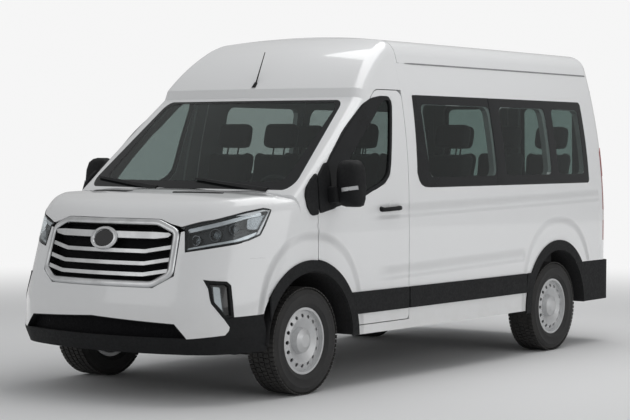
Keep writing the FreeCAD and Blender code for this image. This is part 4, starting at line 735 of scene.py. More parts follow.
class Shape:
    """A mesh in the making, in metres in the frame. Its methods give it back, so that they chain."""

    RUN = 0.02
    WELD = 1e-6

    def __init__(self) -> None:
        """Starts an empty mesh."""
        self.built = bmesh.new()

    def grid(self, rows: Sequence[Sequence[Vector]], round_rows: bool, round_columns: bool) -> "Shape":
        """Skins a grid of points with four-sided faces.

        Args:
            rows: The points, row by row.
            round_rows: Whether each row closes on itself.
            round_columns: Whether the last row joins the first.

        Returns:
            This shape.
        """
        corners = [[self.built.verts.new(point) for point in row] for row in rows]
        high, wide = len(corners), len(corners[0])
        for up in range(high if round_columns else high - 1):
            for along in range(wide if round_rows else wide - 1):
                first, second = corners[up], corners[(up + 1) % high]
                following = (along + 1) % wide
                self.built.faces.new((first[along], first[following], second[following], second[along]))
        return self

    def tube(self, rows: Sequence[Sequence[Vector]]) -> "Shape":
        """Skins closed rows and caps the first and the last.

        Args:
            rows: The points, row by row.

        Returns:
            This shape.
        """
        self.grid(rows, True, False)
        for row in (rows[0], rows[-1]):
            self.built.faces.new([self.built.verts.new(point) for point in row])
        return self

    def sweep(self, path: Sequence[Surface], profile: Sequence[Spot], closed: bool = False) -> "Shape":
        """Runs a profile along a path that lies on a surface.

        Args:
            path: The points with the surface direction at each.
            profile: The profile's points: across the path, and out of the surface.
            closed: Whether the path closes on itself.

        Returns:
            This shape.
        """
        rows = []
        count = len(path)
        for number, (point, normal) in enumerate(path):
            before = path[number - 1][0] if closed or number else point
            after = path[(number + 1) % count][0] if closed or number < count - 1 else point
            across = (after - before).normalized().cross(normal).normalized()
            rows.append([point + across * wide + normal * out for wide, out in profile])
        return self.grid(rows, True, True) if closed else self.tube(rows)

    def sheet(self, outline: Sequence[Spot], step: float, find: Find, outer: float, thick: float) -> "Shape":
        """Lays a plate with a flat outline on a curved surface.

        Args:
            outline: The plate's outline in the finder's two coordinates.
            step: The size of its faces in the same coordinates.
            find: Gives the point and surface direction for two coordinates.
            outer: How far its outer face stands out of the surface.
            thick: Its thickness.

        Returns:
            This shape.
        """
        border = resampled(outline, step)
        low, high = ([edge(point[axis] for point in border) for axis in (0, 1)] for edge in (min, max))
        spots = [Vector(point) for point in border]
        for row in range(1, int((high[1] - low[1]) / step) + 1):
            for column in range(1, int((high[0] - low[0]) / step) + 1):
                spot = (low[0] + column * step, low[1] + row * step)
                if within(spot, border) and min(math.dist(spot, other) for other in border) > step * 0.6:
                    spots.append(Vector(spot))
        edges = looped(range(len(border)))
        flat, _, faces, *_ = delaunay_2d_cdt(spots, edges, [], 1, step * 1e-4)
        found = [find(*point) for point in flat]
        top = [self.built.verts.new(point + normal * outer) for point, normal in found]
        under = [self.built.verts.new(point + normal * (outer - thick)) for point, normal in found]
        rim: dict[tuple[int, int], int] = {}
        for face in faces:
            self.built.faces.new([top[number] for number in face])
            self.built.faces.new([under[number] for number in reversed(face)])
            for pair in looped(face):
                rim[tuple(sorted(pair))] = rim.get(tuple(sorted(pair)), 0) + 1
        for (first, second), uses in rim.items():
            if uses == 1:
                self.built.faces.new((top[first], top[second], under[second], under[first]))
        return self

    def lathe(
        self, profile: Sequence[Spot], centre: Vector, axis: Vector, parts: int = 48, closed: bool = False
    ) -> "Shape":
        """Turns a profile about an axis.

        Args:
            profile: Points as radius and height along the axis.
            centre: A point on the axis.
            axis: The axis's direction.
            parts: How many faces go round.
            closed: Whether the profile closes on itself.

        Returns:
            This shape.
        """
        turn = axis.normalized().to_track_quat("Z", "Y").to_matrix()
        rows = []
        for angle in (math.tau * number / parts for number in range(parts)):
            across, up = math.cos(angle), math.sin(angle)
            rows.append([centre + turn @ Vector((r * across, r * up, h)) for r, h in profile])
        return self.grid(rows, closed, True)

    def block(self, low: Sequence[float], high: Sequence[float], soft: float) -> "Shape":
        """Adds a box with bevelled edges.

        Args:
            low: Its lower corner.
            high: Its upper corner.
            soft: The bevel's width.

        Returns:
            This shape.
        """
        part = Shape()
        bmesh.ops.create_cube(part.built, size=1.0)
        middle, size = (Vector(low) + Vector(high)) / 2, Vector(high) - Vector(low)
        for corner in part.built.verts:
            corner.co = middle + corner.co * size
        bmesh.ops.bevel(
            part.built, geom=part.built.edges[:], offset=soft, segments=3, profile=0.5, affect="EDGES"
        )
        mesh = part.mesh("block")
        self.join(mesh)
        bpy.data.meshes.remove(mesh)
        return self

    def join(self, mesh: bpy.types.Mesh, place: Matrix = Matrix.Identity(4)) -> "Shape":
        """Adds a copy of a mesh at a place.

        Args:
            mesh: The mesh, which stays as it is.
            place: The transform that is put on the copy.

        Returns:
            This shape.
        """
        put = mesh.copy()
        put.transform(place)
        self.built.from_mesh(put)
        bpy.data.meshes.remove(put)
        return self

    def mesh(self, name: str, both_sides: bool = False) -> bpy.types.Mesh:
        """Welds the shape and ends it as a mesh.

        Args:
            name: The mesh's name.
            both_sides: Whether its mirror image on the other side joins it.

        Returns:
            The mesh.
        """
        if both_sides:
            whole = self.built.verts[:] + self.built.edges[:] + self.built.faces[:]
            for item in bmesh.ops.duplicate(self.built, geom=whole)["geom"]:
                if isinstance(item, bmesh.types.BMVert):
                    item.co.y = -item.co.y
        bmesh.ops.remove_doubles(self.built, verts=self.built.verts, dist=self.WELD)
        bmesh.ops.recalc_face_normals(self.built, faces=self.built.faces)
        mesh = bpy.data.meshes.new(name)
        self.built.to_mesh(mesh)
        self.built.free()
        return mesh


@dataclass
class Piece:
    """One finished piece of the scene with where it belongs."""

    name: str
    finish: Finish
    slot: str
    body: str = "body"
    stands_for: tuple[str, ...] = ()
    smooth: bool = True
    both_sides: bool = False

    SHARP = math.radians(50.0)

    def place(self, mesh: bpy.types.Mesh) -> bpy.types.Object:
        """Puts a mesh in the scene as this piece.

        Args:
            mesh: The piece's mesh.

        Returns:
            The piece's object.
        """
        mesh.name = self.name
        mesh.materials.clear()
        mesh.materials.append(self.finish.material())
        for face in mesh.polygons:
            face.use_smooth = self.smooth
            face.material_index = 0
        if self.smooth:
            mesh.set_sharp_from_angle(angle=self.SHARP)
        made = added(self.name, mesh)
        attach(made, self.body)
        if self.stands_for:
            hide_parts(*self.stands_for)
        log.info("%s: %d faces on %s", self.name, len(mesh.polygons), self.body)
        return made

    def of(self, shape: Shape) -> bpy.types.Object:
        """Puts a shape in the scene as this piece."""
        return self.place(shape.mesh(self.name, self.both_sides))

    def panel(
        self, outline: Sequence[Spot], find: Find, outer: float = 0.0, thick: float = 0.012,
        step: float = 0.03, gap: float = 0.003, soft: float = 0.012,
    ) -> None:
        """Makes the piece as a plate on a measured outline.

        Args:
            outline: The outline in the finder's two coordinates.
            find: Gives the point and surface direction for them.
            outer: How far its outer face stands out of the surface.
            thick: Its thickness.
            step: The size of its faces.
            gap: How far its edge stays inside the outline.
            soft: How far from each corner its round starts.
        """
        self.of(Shape().sheet(inset(rounded(outline, soft), gap), step, find, outer, thick))

    def rim(self, outline: Sequence[Spot], find: Find, profile: Sequence[Spot]) -> None:
        """Makes the piece as a rim round an outline.

        Args:
            outline: The outline in the finder's two coordinates.
            find: Gives the point and surface direction for them.
            profile: The rim's profile: across the outline, and out of the surface.
        """
        self.of(Shape().sweep([find(*spot) for spot in resampled(outline, Shape.RUN)], profile, True))


class FrontForm:
    """The smooth outside of the front end, which its panels and lamps follow."""

    AXIS_X = 0.800
    CORNER = 0.330
    EDGE = 0.100
    FOOT = 0.250
    PROFILE = ((2.640, FOOT), (2.722, 0.420), (2.700, 0.640), (2.520, 1.260), (2.420, 1.700))
    BONNET = (
        (1.60, 1.353), (1.88, 1.349), (2.05, 1.345), (2.20, 1.322), (2.35, 1.284), (2.45, 1.245),
        (2.55, 1.192), (2.70, 1.08),
    )
    CROWN = 24.0
    MIDDLE_X = 1.500
    INNER_X, INNER_Z = 1.550, 0.750
    HALF_WIDE, WAIST, PLAN_BOW, SIDE_BOW = 1.017, 1.0, 194.0, 9.0
    REACH, OVER, ABOVE, BESIDE = 1.6, 1.5, (0.9, 1.6), (0.3, 1.4)
    HALVINGS = 26
    PROBE = 0.004

    def along(self, table: Sequence[Spot], value: float, key: int) -> float:
        """Reads a profile by one of its two coordinates.

        Args:
            table: The profile's points.
            value: The known coordinate.
            key: Which coordinate that is.

        Returns:
            The other coordinate.
        """
        for first, second in zip(table, table[1:]):
            if value <= second[key]:
                break
        share = (value - first[key]) / (second[key] - first[key])
        return first[1 - key] + (second[1 - key] - first[1 - key]) * share

    def side(self, x: float, z: float) -> float:
        """How far out the body's side is at a place along and above."""
        return self.HALF_WIDE - x * x / self.PLAN_BOW - max(0.0, z - self.WAIST) ** 2 / self.SIDE_BOW

    def depth(self, point: Vector) -> float:
        """Tells how far a point is outside the form.

        Args:
            point: The point.

        Returns:
            The distance, negative inside.
        """
        across = abs(point.y)
        radius = self.along(self.PROFILE, max(self.FOOT, point.z), 1) - self.AXIS_X
        front = math.hypot(point.x - self.AXIS_X, across) - radius
        upright = self.soft_corner(front, across - self.side(point.x, point.z), self.CORNER)
        top = point.z - (self.along(self.BONNET, point.x, 0) - across * across / self.CROWN)
        return self.soft_corner(upright, top, self.EDGE)

    @staticmethod
    def soft_corner(first: float, second: float, radius: float) -> float:
        """Joins two surfaces with a rounded edge.

        Args:
            first: The distance outside the first surface.
            second: The distance outside the second.
            radius: The edge's radius.

        Returns:
            The distance outside both.
        """
        if first > -radius and second > -radius:
            return math.hypot(first + radius, second + radius) - radius
        return max(first, second)

    def cast(self, inner: Vector, outer: Vector) -> Surface:
        """Finds the form's surface between a point inside and a point outside.

        Args:
            inner: The point inside.
            outer: The point outside.

        Returns:
            The surface point and its outward direction.
        """
        for _ in range(self.HALVINGS):
            middle = (inner + outer) / 2
            if self.depth(middle) > 0:
                outer = middle
            else:
                inner = middle
        ways = [way * self.PROBE for way in Matrix.Identity(3)]
        return inner, Vector([self.depth(inner + way) - self.depth(inner - way) for way in ways]).normalized()

    def around(self, turn: float, up: float) -> Surface:
        """The surface at a turn about the upright line behind the front wheels, and a height."""
        middle = Vector((self.MIDDLE_X, 0.0, up))
        return self.cast(middle, middle + Vector((math.cos(turn), math.sin(turn), 0.0)) * self.REACH)

    def above(self, x: float, y: float) -> Surface:
        """The surface straight above a place."""
        return self.cast(*(Vector((x, y, z)) for z in self.ABOVE))

    def beside(self, x: float, z: float) -> Surface:
        """The surface beside the middle plane at a place along and above."""
        return self.cast(*(Vector((x, y, z)) for y in self.BESIDE))

    def over(self, across: float, turn: float) -> Surface:
        """The surface over an inner line, at a place across and a turn up from straight ahead."""
        middle = Vector((self.INNER_X, across, self.INNER_Z))
        return self.cast(middle, middle + Vector((math.cos(turn), 0.0, math.sin(turn))) * self.OVER)

    def over_spots(self, *points: tuple[float, float, float]) -> list[Spot]:
        """The places across and the turns of several points."""
        return [(y, math.atan2(z - self.INNER_Z, x - self.INNER_X)) for x, y, z in points]

    def spots(self, *points: tuple[float, float, float]) -> list[Spot]:
        """The turns and heights of several points."""
        return [(math.atan2(y, x - self.MIDDLE_X), z) for x, y, z in points]


FORM = FrontForm()


class Outlines:
    """The front end's outlines from measured points: x, y, z. WING is in x and z, VENT in x and y."""

    GRILLE_EDGE = ((2.66, 0.0, 0.737), (2.619, 0.440, 0.737), (2.562, 0.570, 0.814))
    BEZEL = (
        (2.494, 0.754, 0.796), (2.500, 0.800, 0.740), (2.503, 0.816, 0.677), (2.505, 0.829, 0.647),
        (2.458, 0.903, 0.546), (2.403, 0.943, 0.559), (2.397, 0.912, 0.759), (2.414, 0.890, 0.783),
        (2.484, 0.800, 0.790),
    )
    LIP = (
        (2.432, 0.929, 0.497), (2.438, 0.926, 0.474), (2.459, 0.912, 0.447), (2.575, 0.736, 0.428),
        (2.60, 0.703, 0.425),
    )
    MOUTH = ((2.62, 0.618, 0.514), (2.70, 0.0, 0.545))

    LAMP = FORM.spots(
        (2.474, 0.547, 1.118), (2.468, 0.592, 1.098), (2.500, 0.612, 0.966), (2.425, 0.767, 0.996),
        (2.329, 0.898, 1.020), (2.256, 0.948, 1.038), (2.169, 0.980, 1.071), (2.126, 0.985, 1.131),
        (2.047, 0.963, 1.232), (2.102, 0.936, 1.242), (2.227, 0.894, 1.220), (2.363, 0.770, 1.175),
        (2.449, 0.606, 1.131),
    )
    LAMP_UPPER = FORM.spots(
        (2.452, 0.590, 1.112), (2.355, 0.775, 1.158), (2.220, 0.900, 1.203), (2.120, 0.945, 1.220),
        (2.125, 0.955, 1.196), (2.225, 0.905, 1.178), (2.360, 0.780, 1.132), (2.460, 0.600, 1.088),
    )
    LAMP_LOWER = FORM.spots(
        (2.490, 0.620, 0.992), (2.425, 0.775, 1.022), (2.330, 0.900, 1.046), (2.190, 0.975, 1.092),
        (2.180, 0.978, 1.078), (2.260, 0.950, 1.046), (2.329, 0.903, 1.030), (2.425, 0.770, 1.006),
        (2.500, 0.610, 0.975),
    )
    LAMP_END = FORM.spots(
        (2.215, 0.905, 1.176), (2.120, 0.952, 1.194), (2.075, 0.966, 1.206), (2.140, 0.980, 1.130),
        (2.185, 0.972, 1.108), (2.250, 0.940, 1.112),
    )
    GRILLE = both(FORM.spots(*GRILLE_EDGE, (2.478, 0.556, 1.105), (2.502, 0.405, 1.172), (2.55, 0.0, 1.172)))
    FOG = FORM.spots(*BEZEL)
    FOG_LENS = FORM.spots(
        (2.479, 0.807, 0.765), (2.442, 0.866, 0.756), (2.452, 0.890, 0.661), (2.455, 0.905, 0.575),
        (2.497, 0.838, 0.655),
    )
    INTAKE = both(FORM.spots(*reversed(MOUTH), LIP[-1], (2.72, 0.0, 0.425)))
    WHITE = both(FORM.spots(
        *GRILLE_EDGE, (2.480, 0.560, 1.090), (2.474, 0.585, 1.096), (2.500, 0.609, 0.963),
        (2.425, 0.767, 0.990), (2.329, 0.898, 1.014), (2.256, 0.948, 1.034), (2.256, 0.960, 0.925),
        (2.120, 0.992, 0.925), (2.120, 0.992, 0.656), (2.148, 0.993, 0.614), (2.168, 0.993, 0.569),
        *BEZEL[5:], *BEZEL[:5], *LIP, *MOUTH,
    ))
    BLACK = both(FORM.spots(
        (2.72, 0.0, 0.425), *reversed(LIP), BEZEL[4], BEZEL[5], (2.173, 0.993, 0.569),
        (2.145, 0.993, 0.470), (2.135, 0.993, 0.330), (2.50, 0.80, 0.318), (2.68, 0.0, 0.318),
    ))
    BONNET = both(FORM.over_spots(
        (1.888, 0.0, 1.349), (1.888, 0.872, 1.316), (1.960, 0.918, 1.304), (2.045, 0.952, 1.288),
        (2.047, 0.960, 1.240), (2.102, 0.936, 1.246), (2.227, 0.894, 1.225), (2.363, 0.770, 1.180),
        (2.449, 0.606, 1.137), (2.474, 0.560, 1.122), (2.490, 0.480, 1.142), (2.505, 0.400, 1.176),
        (2.530, 0.200, 1.177), (2.545, 0.0, 1.177),
    ))
    WING = (
        (1.606, 0.872), (1.606, 1.322), (1.862, 1.330), (1.885, 1.326), (1.960, 1.312), (2.045, 1.275),
        (2.050, 1.234), (2.126, 1.128), (2.169, 1.066), (2.256, 1.034), (2.256, 0.925), (2.119, 0.925),
        (2.119, 0.660), (2.069, 0.720), (2.026, 0.762), (1.975, 0.799), (1.915, 0.833), (1.850, 0.859),
        (1.770, 0.879), (1.683, 0.886), (1.640, 0.884),
    )
    VENT = ((2.075, 0.575), (2.040, 0.560), (2.105, 0.175), (2.150, 0.205))


class FrontEnd:
    """Bonnet, wings, bumper, lamps and grille. Each profile runs across and out of the surface."""

    WALL = ((-0.003, 0.001), (0.003, 0.001), (0.003, -0.060), (-0.003, -0.060))
    LAMP_WALL = ((-0.006, -0.080), (-0.006, 0.001), (0.006, 0.001), (0.006, -0.080))
    FOG_RIM = ((-0.010, -0.030), (-0.010, 0.004), (0.006, 0.004), (0.009, -0.030))
    FRAME = (
        (-0.021, -0.012), (-0.019, 0.004), (-0.010, 0.010), (0.008, 0.010), (0.020, 0.002), (0.022, -0.012)
    )
    BOWLS = (
        ("lamp_projectors", (2.400, 0.800, 1.085), 0.036, -0.072),
        ("lamp_high_beams", (2.300, 0.895, 1.118), 0.030, -0.064),
        ("lamp_side_lights", (2.465, 0.672, 1.050), 0.028, -0.060),
    )
    BOWL_AHEAD = 1.2
    BARS = ((0.966, 0.012, 0.030), (0.889, 0.012, 0.030), (0.820, 0.012, 0.030))
    TOP_BAR_Z, TOP_BAR_HALF = 1.066, 0.021
    BAR_X, BAR_BOW = 2.66, 0.26
    BADGE_Z, BADGE_RADIUS, BADGE_WIDE = 1.040, 0.073, 1.5

    def pair(
        self, name: str, finish: Finish, slot: str, outline: Sequence[Spot], stands_for: tuple[str, ...] = (),
        **look: float,
    ) -> None:
        """Lays one panel on each side of the front end.

        Args:
            name: The piece's name.
            finish: Its finish.
            slot: Its slot.
            outline: Its outline on the left side.
            stands_for: The CAD nodes that it replaces.
            look: The panel's outer, thick, step, gap and soft.
        """
        Piece(name, finish, slot, stands_for=stands_for, both_sides=True).panel(outline, FORM.around, **look)

    def skins(self) -> None:
        """Lays the painted and the black panels."""
        paint, flush = Finishes.PAINT, {"gap": 0.0003, "soft": 0.002}
        Piece("bonnet_skin", paint, "body_paint", "bonnet", ("bonnet",)).panel(Outlines.BONNET, FORM.over)
        wings = Piece("wing_skins", paint, "body_paint", stands_for=("front_wings",), both_sides=True)
        wings.panel(Outlines.WING, FORM.beside, **flush)
        bumper = Piece("bumper_skin", paint, "body_paint", stands_for=("front_bumper",))
        bumper.panel(Outlines.WHITE, FORM.around, **flush)
        lower = Piece("lower_bumper_skin", Finishes.TRIM, "black_trim", stands_for=("lower_bumper",))
        lower.panel(Outlines.BLACK, FORM.around, -0.0005, 0.02, gap=0.001)

    def intake(self) -> None:
        """Sets the intake's recessed mesh and its wall."""
        mesh = Piece("intake_mesh", Finishes.MESH, "grille_plastic")
        mesh.panel(Outlines.INTAKE, FORM.around, -0.045, 0.006)
        Piece("intake_wall", Finishes.TRIM, "black_trim").rim(Outlines.INTAKE, FORM.around, self.WALL)

    def fog_lamps(self) -> None:
        """Sets the fog lamps in their black bezels."""
        fog, lens = Outlines.FOG, Outlines.FOG_LENS
        back = inset(lens, 0.006)
        self.pair("fog_beds", Finishes.GLOSS_TRIM, "black_trim", fog, outer=-0.022, thick=0.006)
        bezel = Piece("fog_bezels", Finishes.TRIM, "black_trim", both_sides=True)
        bezel.rim(inset(fog, 0.008), FORM.around, self.FOG_RIM)
        self.pair("fog_reflectors", Finishes.REFLECTOR, "lamp_lens", back, outer=-0.014, thick=0.004)
        self.pair("fog_lenses", Finishes.LENS, "lamp_lens", lens, outer=-0.006, thick=0.004)

    def headlamps(self) -> None:
        """Sets the headlamps: dark bowl, silver strips, smoked end, reflectors and clear lens."""
        lamp, chrome, node = Outlines.LAMP, Finishes.SATIN_CHROME, ("headlamps",)
        self.pair("lamp_bowls", Finishes.DARK_LAMP, "black_trim", lamp, node, outer=-0.075, thick=0.006)
        wall = Piece("lamp_walls", Finishes.TRIM, "black_trim", both_sides=True)
        wall.rim(inset(lamp, 0.004), FORM.around, self.LAMP_WALL)
        for name, finish, outline, outer, thick in (
            ("lamp_upper_strips", chrome, Outlines.LAMP_UPPER, -0.018, 0.03),
            ("lamp_lower_strips", chrome, Outlines.LAMP_LOWER, -0.012, 0.03),
            ("lamp_turn_reflectors", Finishes.SMOKED, Outlines.LAMP_END, -0.022, 0.02),
        ):
            self.pair(name, finish, "lamp_lens", outline, outer=outer, thick=thick, gap=0.0)
        for bowl in self.BOWLS:
            self.lamp_bowl(*bowl)
        self.pair("lamp_lenses", Finishes.LENS, "lamp_lens", lamp, outer=0.002, thick=0.004, gap=0.001)

    def lamp_bowl(self, name: str, place: tuple[float, float, float], radius: float, depth: float) -> None:
        """Turns one reflector with its glass bowl.

        Args:
            name: The piece's name.
            place: Its middle on the lamp's face.
            radius: Its radius.
            depth: How far its foot is set in.
        """
        point, normal = FORM.around(*FORM.spots(place)[0])
        aim = (normal + Vector((self.BOWL_AHEAD, 0.0, 0.0))).normalized()
        base, lip = point + normal * depth, radius + 0.004
        dish = (
            (0.0, 0.006), (radius * 0.6, 0.004), (radius * 0.85, 0.014), (radius, 0.034), (lip, 0.034),
            (lip, 0.0), (0.0, -0.004),
        )
        glass = (
            (0.0, 0.030), (radius * 0.35, 0.027), (radius * 0.55, 0.018), (radius * 0.62, 0.006), (0.0, 0.004)
        )
        bowl = Piece(name, Finishes.DARK_CHROME, "lamp_lens", both_sides=True)
        bowl.of(Shape().lathe(dish, base, aim, 40))
        ball = Piece(f"{name}_glass", Finishes.LENS, "lamp_lens", both_sides=True)
        ball.of(Shape().lathe(glass, base, aim, 32))

    def grille(self) -> None:
        """Sets the recessed back, the silver frame, four bars and a bare ring."""
        line, chrome, slot = Outlines.GRILLE, Finishes.SATIN_CHROME, "grille_plastic"
        back = Piece("grille_back", Finishes.MESH, slot, stands_for=("grille",))
        back.panel(line, FORM.around, -0.055, 0.006)
        Piece("grille_frame", chrome, slot).rim(rounded(inset(line, 0.022), 0.03), FORM.around, self.FRAME)
        Piece("grille_wall", Finishes.GLOSS_TRIM, slot).rim(inset(line, 0.040), FORM.around, self.WALL)
        z, half = self.TOP_BAR_Z, self.TOP_BAR_HALF
        pointed = (
            (0.0, z - half), (0.430, z - half), (0.520, z - half * 0.5), (0.540, z + half * 0.3),
            (0.525, z + half * 0.8), (0.430, z + half), (0.0, z + half),
        )
        bars = Shape()
        self.bar(bars, pointed, 0.004)
        for z, half, rise in self.BARS:
            low, high = z - half, z + half
            left = ((0.0, low), (0.355, low), (0.546, low + rise))
            self.bar(bars, (*left, (0.546, high + rise), (0.355, high), (0.0, high)), -0.002)
        Piece("grille_bars", chrome, slot).of(bars)
        radius, (point, normal) = self.BADGE_RADIUS, FORM.around(0.0, self.BADGE_Z)
        ring = (
            (radius, -0.010), (radius + 0.004, 0.006), (radius - 0.003, 0.015), (radius - 0.013, 0.015),
            (radius - 0.018, 0.006), (radius - 0.018, -0.010),
        )
        disc = ((0.0, 0.006), (radius - 0.02, 0.004), (radius - 0.016, -0.010), (0.0, -0.012))
        for name, finish, profile, closed in (
            ("badge_ring", chrome, ring, True), ("badge_disc", Finishes.GLOSS_TRIM, disc, False)
        ):
            turned = Shape().lathe(profile, point, normal, 64, closed)
            turned.built.transform(Matrix.Diagonal((1.0, self.BADGE_WIDE, 1.0, 1.0)))
            Piece(name, finish, slot).of(turned)

    def bar(self, bars: Shape, half: Sequence[Spot], outer: float) -> None:
        """Adds one grille bar.

        Args:
            bars: The bars in the making.
            half: The bar's left half, across and up.
            outer: How far it stands out of the surface.
        """
        points = [(self.BAR_X - y * y * self.BAR_BOW, y, z) for y, z in half]
        bars.sheet(both(FORM.spots(*points)), Shape.RUN, FORM.around, outer, 0.022)

    def build(self) -> None:
        """Builds every piece of the front end, and the bonnet's two dark vents at the end."""
        for stage in (self.skins, self.intake, self.fog_lamps, self.headlamps, self.grille):
            stage()
        vents = Piece("bonnet_vents", Finishes.TRIM, "black_trim", "bonnet", both_sides=True)
        vents.of(Shape().sheet(rounded(Outlines.VENT, 0.012), 0.02, FORM.above, 0.002, 0.006))


def side_face(x: float, z: float) -> Surface:
    """The cab's and body's left side at a place along and above, without its openings."""
    slope = 2.0 * max(0.0, z - FORM.WAIST) / FORM.SIDE_BOW
    return Vector((x, FORM.side(x, z), z)), Vector((2.0 * x / FORM.PLAN_BOW, 1.0, slope)).normalized()


@dataclass
class Door:
    """One front door: skin with its window, pane, black frame, moulding, handle and mirror."""

    side: Side

    WINDOW = (
        (0.719, 1.510), (0.745, 1.440), (0.810, 1.385), (1.061, 1.298), (1.300, 1.250), (1.555, 1.203),
        (1.562, 1.430), (1.415, 1.577), (1.236, 1.737), (1.137, 1.812), (0.971, 1.928), (0.860, 1.972),
        (0.740, 1.990), (0.628, 1.990), (0.613, 1.930), (0.660, 1.750),
    )
    CORNER = (
        (0.550, 1.990), (0.610, 1.990), (0.611, 1.930), (0.657, 1.750), (0.716, 1.510), (0.742, 1.438),
        (0.807, 1.382), (1.061, 1.295), (1.061, 1.265), (0.590, 1.265), (0.580, 1.400),
    )
    SAIL = (
        (1.420, 1.226), (1.586, 1.196), (1.598, 1.250), (1.598, 1.430), (1.500, 1.530), (1.470, 1.530),
        (1.470, 1.340), (1.400, 1.300),
    )
    CAP = (
        (1.606, 1.190), (1.660, 1.182), (1.690, 1.194), (1.725, 1.240), (1.738, 1.300), (1.715, 1.370),
        (1.660, 1.425), (1.606, 1.462),
    )
    EDGE_BAND = (
        (1.555, 1.206), (1.562, 1.428), (1.415, 1.575), (1.236, 1.735), (1.137, 1.810), (0.971, 1.926),
        (0.860, 1.970), (0.740, 1.988), (0.632, 1.988), (0.640, 1.962), (0.700, 1.960), (0.760, 1.925),
        (0.830, 1.865), (0.940, 1.775), (1.040, 1.700), (1.210, 1.550), (1.370, 1.395), (1.370, 1.240),
    )
    STRIP = ((0.538, 0.500), (1.170, 0.500), (1.185, 0.560), (1.230, 0.650), (0.538, 0.650))
    FRAME = ((-0.018, -0.020), (-0.014, -0.001), (0.012, 0.001), (0.015, -0.020))
    BAR = ((-0.012, -0.016), (-0.012, 0.000), (0.012, 0.000), (0.012, -0.016))
    BOWL = ((0.050, -0.004), (0.048, 0.003), (0.036, 0.001), (0.0, -0.001), (0.0, -0.004))
    STUD = ((0.0, 0.022), (0.012, 0.022), (0.018, -0.002), (0.0, -0.002))
    HEAD = (
        (1.237, 0.050, 0.045, 0.0), (1.247, 0.078, 0.075, 0.0), (1.290, 0.092, 0.105, 0.0),
        (1.380, 0.095, 0.118, 0.0), (1.460, 0.094, 0.112, 0.004), (1.515, 0.086, 0.094, 0.010),
        (1.540, 0.066, 0.066, 0.014), (1.548, 0.040, 0.036, 0.016),
    )
    HEAD_X, HEAD_Y, HEAD_SQUARE, HEAD_BACK, HEAD_PARTS = 1.380, 1.134, 0.62, 0.10, 24
    ARM, ARM_SOFT = ((1.415, 0.985, 1.262), (1.505, 1.080, 1.372)), 0.022
    GLASS, GLASS_SOFT = ((1.363, 1.060, 1.290), (1.371, 1.196, 1.500)), 0.003
    CUT, PARTS = (0.60, 1.30), 8
    BAR_X, BAR_Z, BAR_RUN = 1.452, 1.22, 0.03
    BOWL_X, BOWL_Z = 0.735, 1.215
    HANDLE_X, HANDLE_LONG, HANDLE_Z, HANDLE_DROP = 0.648, 0.236, 1.209, 0.008
    HANDLE_OUT, HANDLE_BOW, HANDLE_HALF, HANDLE_THICK = 0.014, 0.020, 0.015, 0.010
    STUDS = ((0.655, 1.207), (0.875, 1.207))
    STRIP_X, STRIP_BACK, STRIP_Y, STRIP_WIDE = 1.499, 0.030, 1.116, 0.110
    STRIP_Z, STRIP_RISE, STRIP_TURN = 1.352, 0.016, 0.35
    MIRROR_STRIP = ((-0.014, -0.010), (-0.012, 0.003), (0.012, 0.003), (0.014, -0.010))

    def at(self, x: float, z: float) -> Surface:
        """Finds the door's outside on its own side of the minibus.

        Args:
            x: The place along.
            z: The height.

        Returns:
            The point and its outward direction.
        """
        turn = Matrix.Diagonal((1.0, self.side.value, 1.0))
        return tuple(turn @ part for part in side_face(x, z))

    def name(self, piece: str) -> str:
        """The name of one of this door's pieces."""
        return f"{piece}_{self.side.word}"

    def piece(
        self, name: str, finish: Finish = Finishes.TRIM, slot: str = "black_trim", **more: object
    ) -> Piece:
        """One of this door's pieces, which rides on the door if nothing else is given."""
        return Piece(self.name(name), finish, slot, **{"body": self.name("door"), **more})

    def panel(self) -> None:
        """Cuts the window's real outline in a copy of the door."""
        panel = self.name("door_panel")
        rows = [
            [Vector((x, y * self.side.value, z)) for x, z in rounded(self.WINDOW, 0.02)] for y in self.CUT
        ]
        cutter = added("window_cut", Shape().tube(rows).mesh("window_cut"))
        made = added("door_cut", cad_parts[panel].data.copy())
        cut = made.modifiers.new("window", "BOOLEAN")
        cut.operation = "DIFFERENCE"
        cut.solver = "EXACT"
        cut.object = cutter
        modified(made)
        mesh = made.data
        for item in (made, cutter):
            bpy.data.objects.remove(item)
        self.piece("door_skin", Finishes.PAINT, "body_paint", stands_for=(panel,), smooth=False).place(mesh)

    def glass(self) -> None:
        """Sets the corner filler, the pane, its black edge and frame, and the upright bar."""
        corner = self.piece("window_corner", Finishes.PAINT, "body_paint")
        corner.panel(self.CORNER, self.at, 0.0008, 0.03, gap=0.0, soft=0.001)
        node = self.name("door_glass")
        pane = self.piece("door_pane", Finishes.DOOR_GLASS, "tinted_glass", stands_for=(node,))
        pane.panel(self.WINDOW, self.at, -0.010, 0.004, 0.06, -0.004)
        edge = self.piece("window_edge", Finishes.BORDER, "tinted_glass")
        edge.panel(self.EDGE_BAND, self.at, 0.0015, 0.003, gap=0.002, soft=0.004)
        self.piece("window_frame").rim(rounded(inset(self.WINDOW, 0.010), 0.03), self.at, self.FRAME)
        upright = [self.at(self.BAR_X, self.BAR_Z + self.BAR_RUN * part) for part in range(11)]
        self.piece("window_bar").of(Shape().sweep(upright, self.BAR))

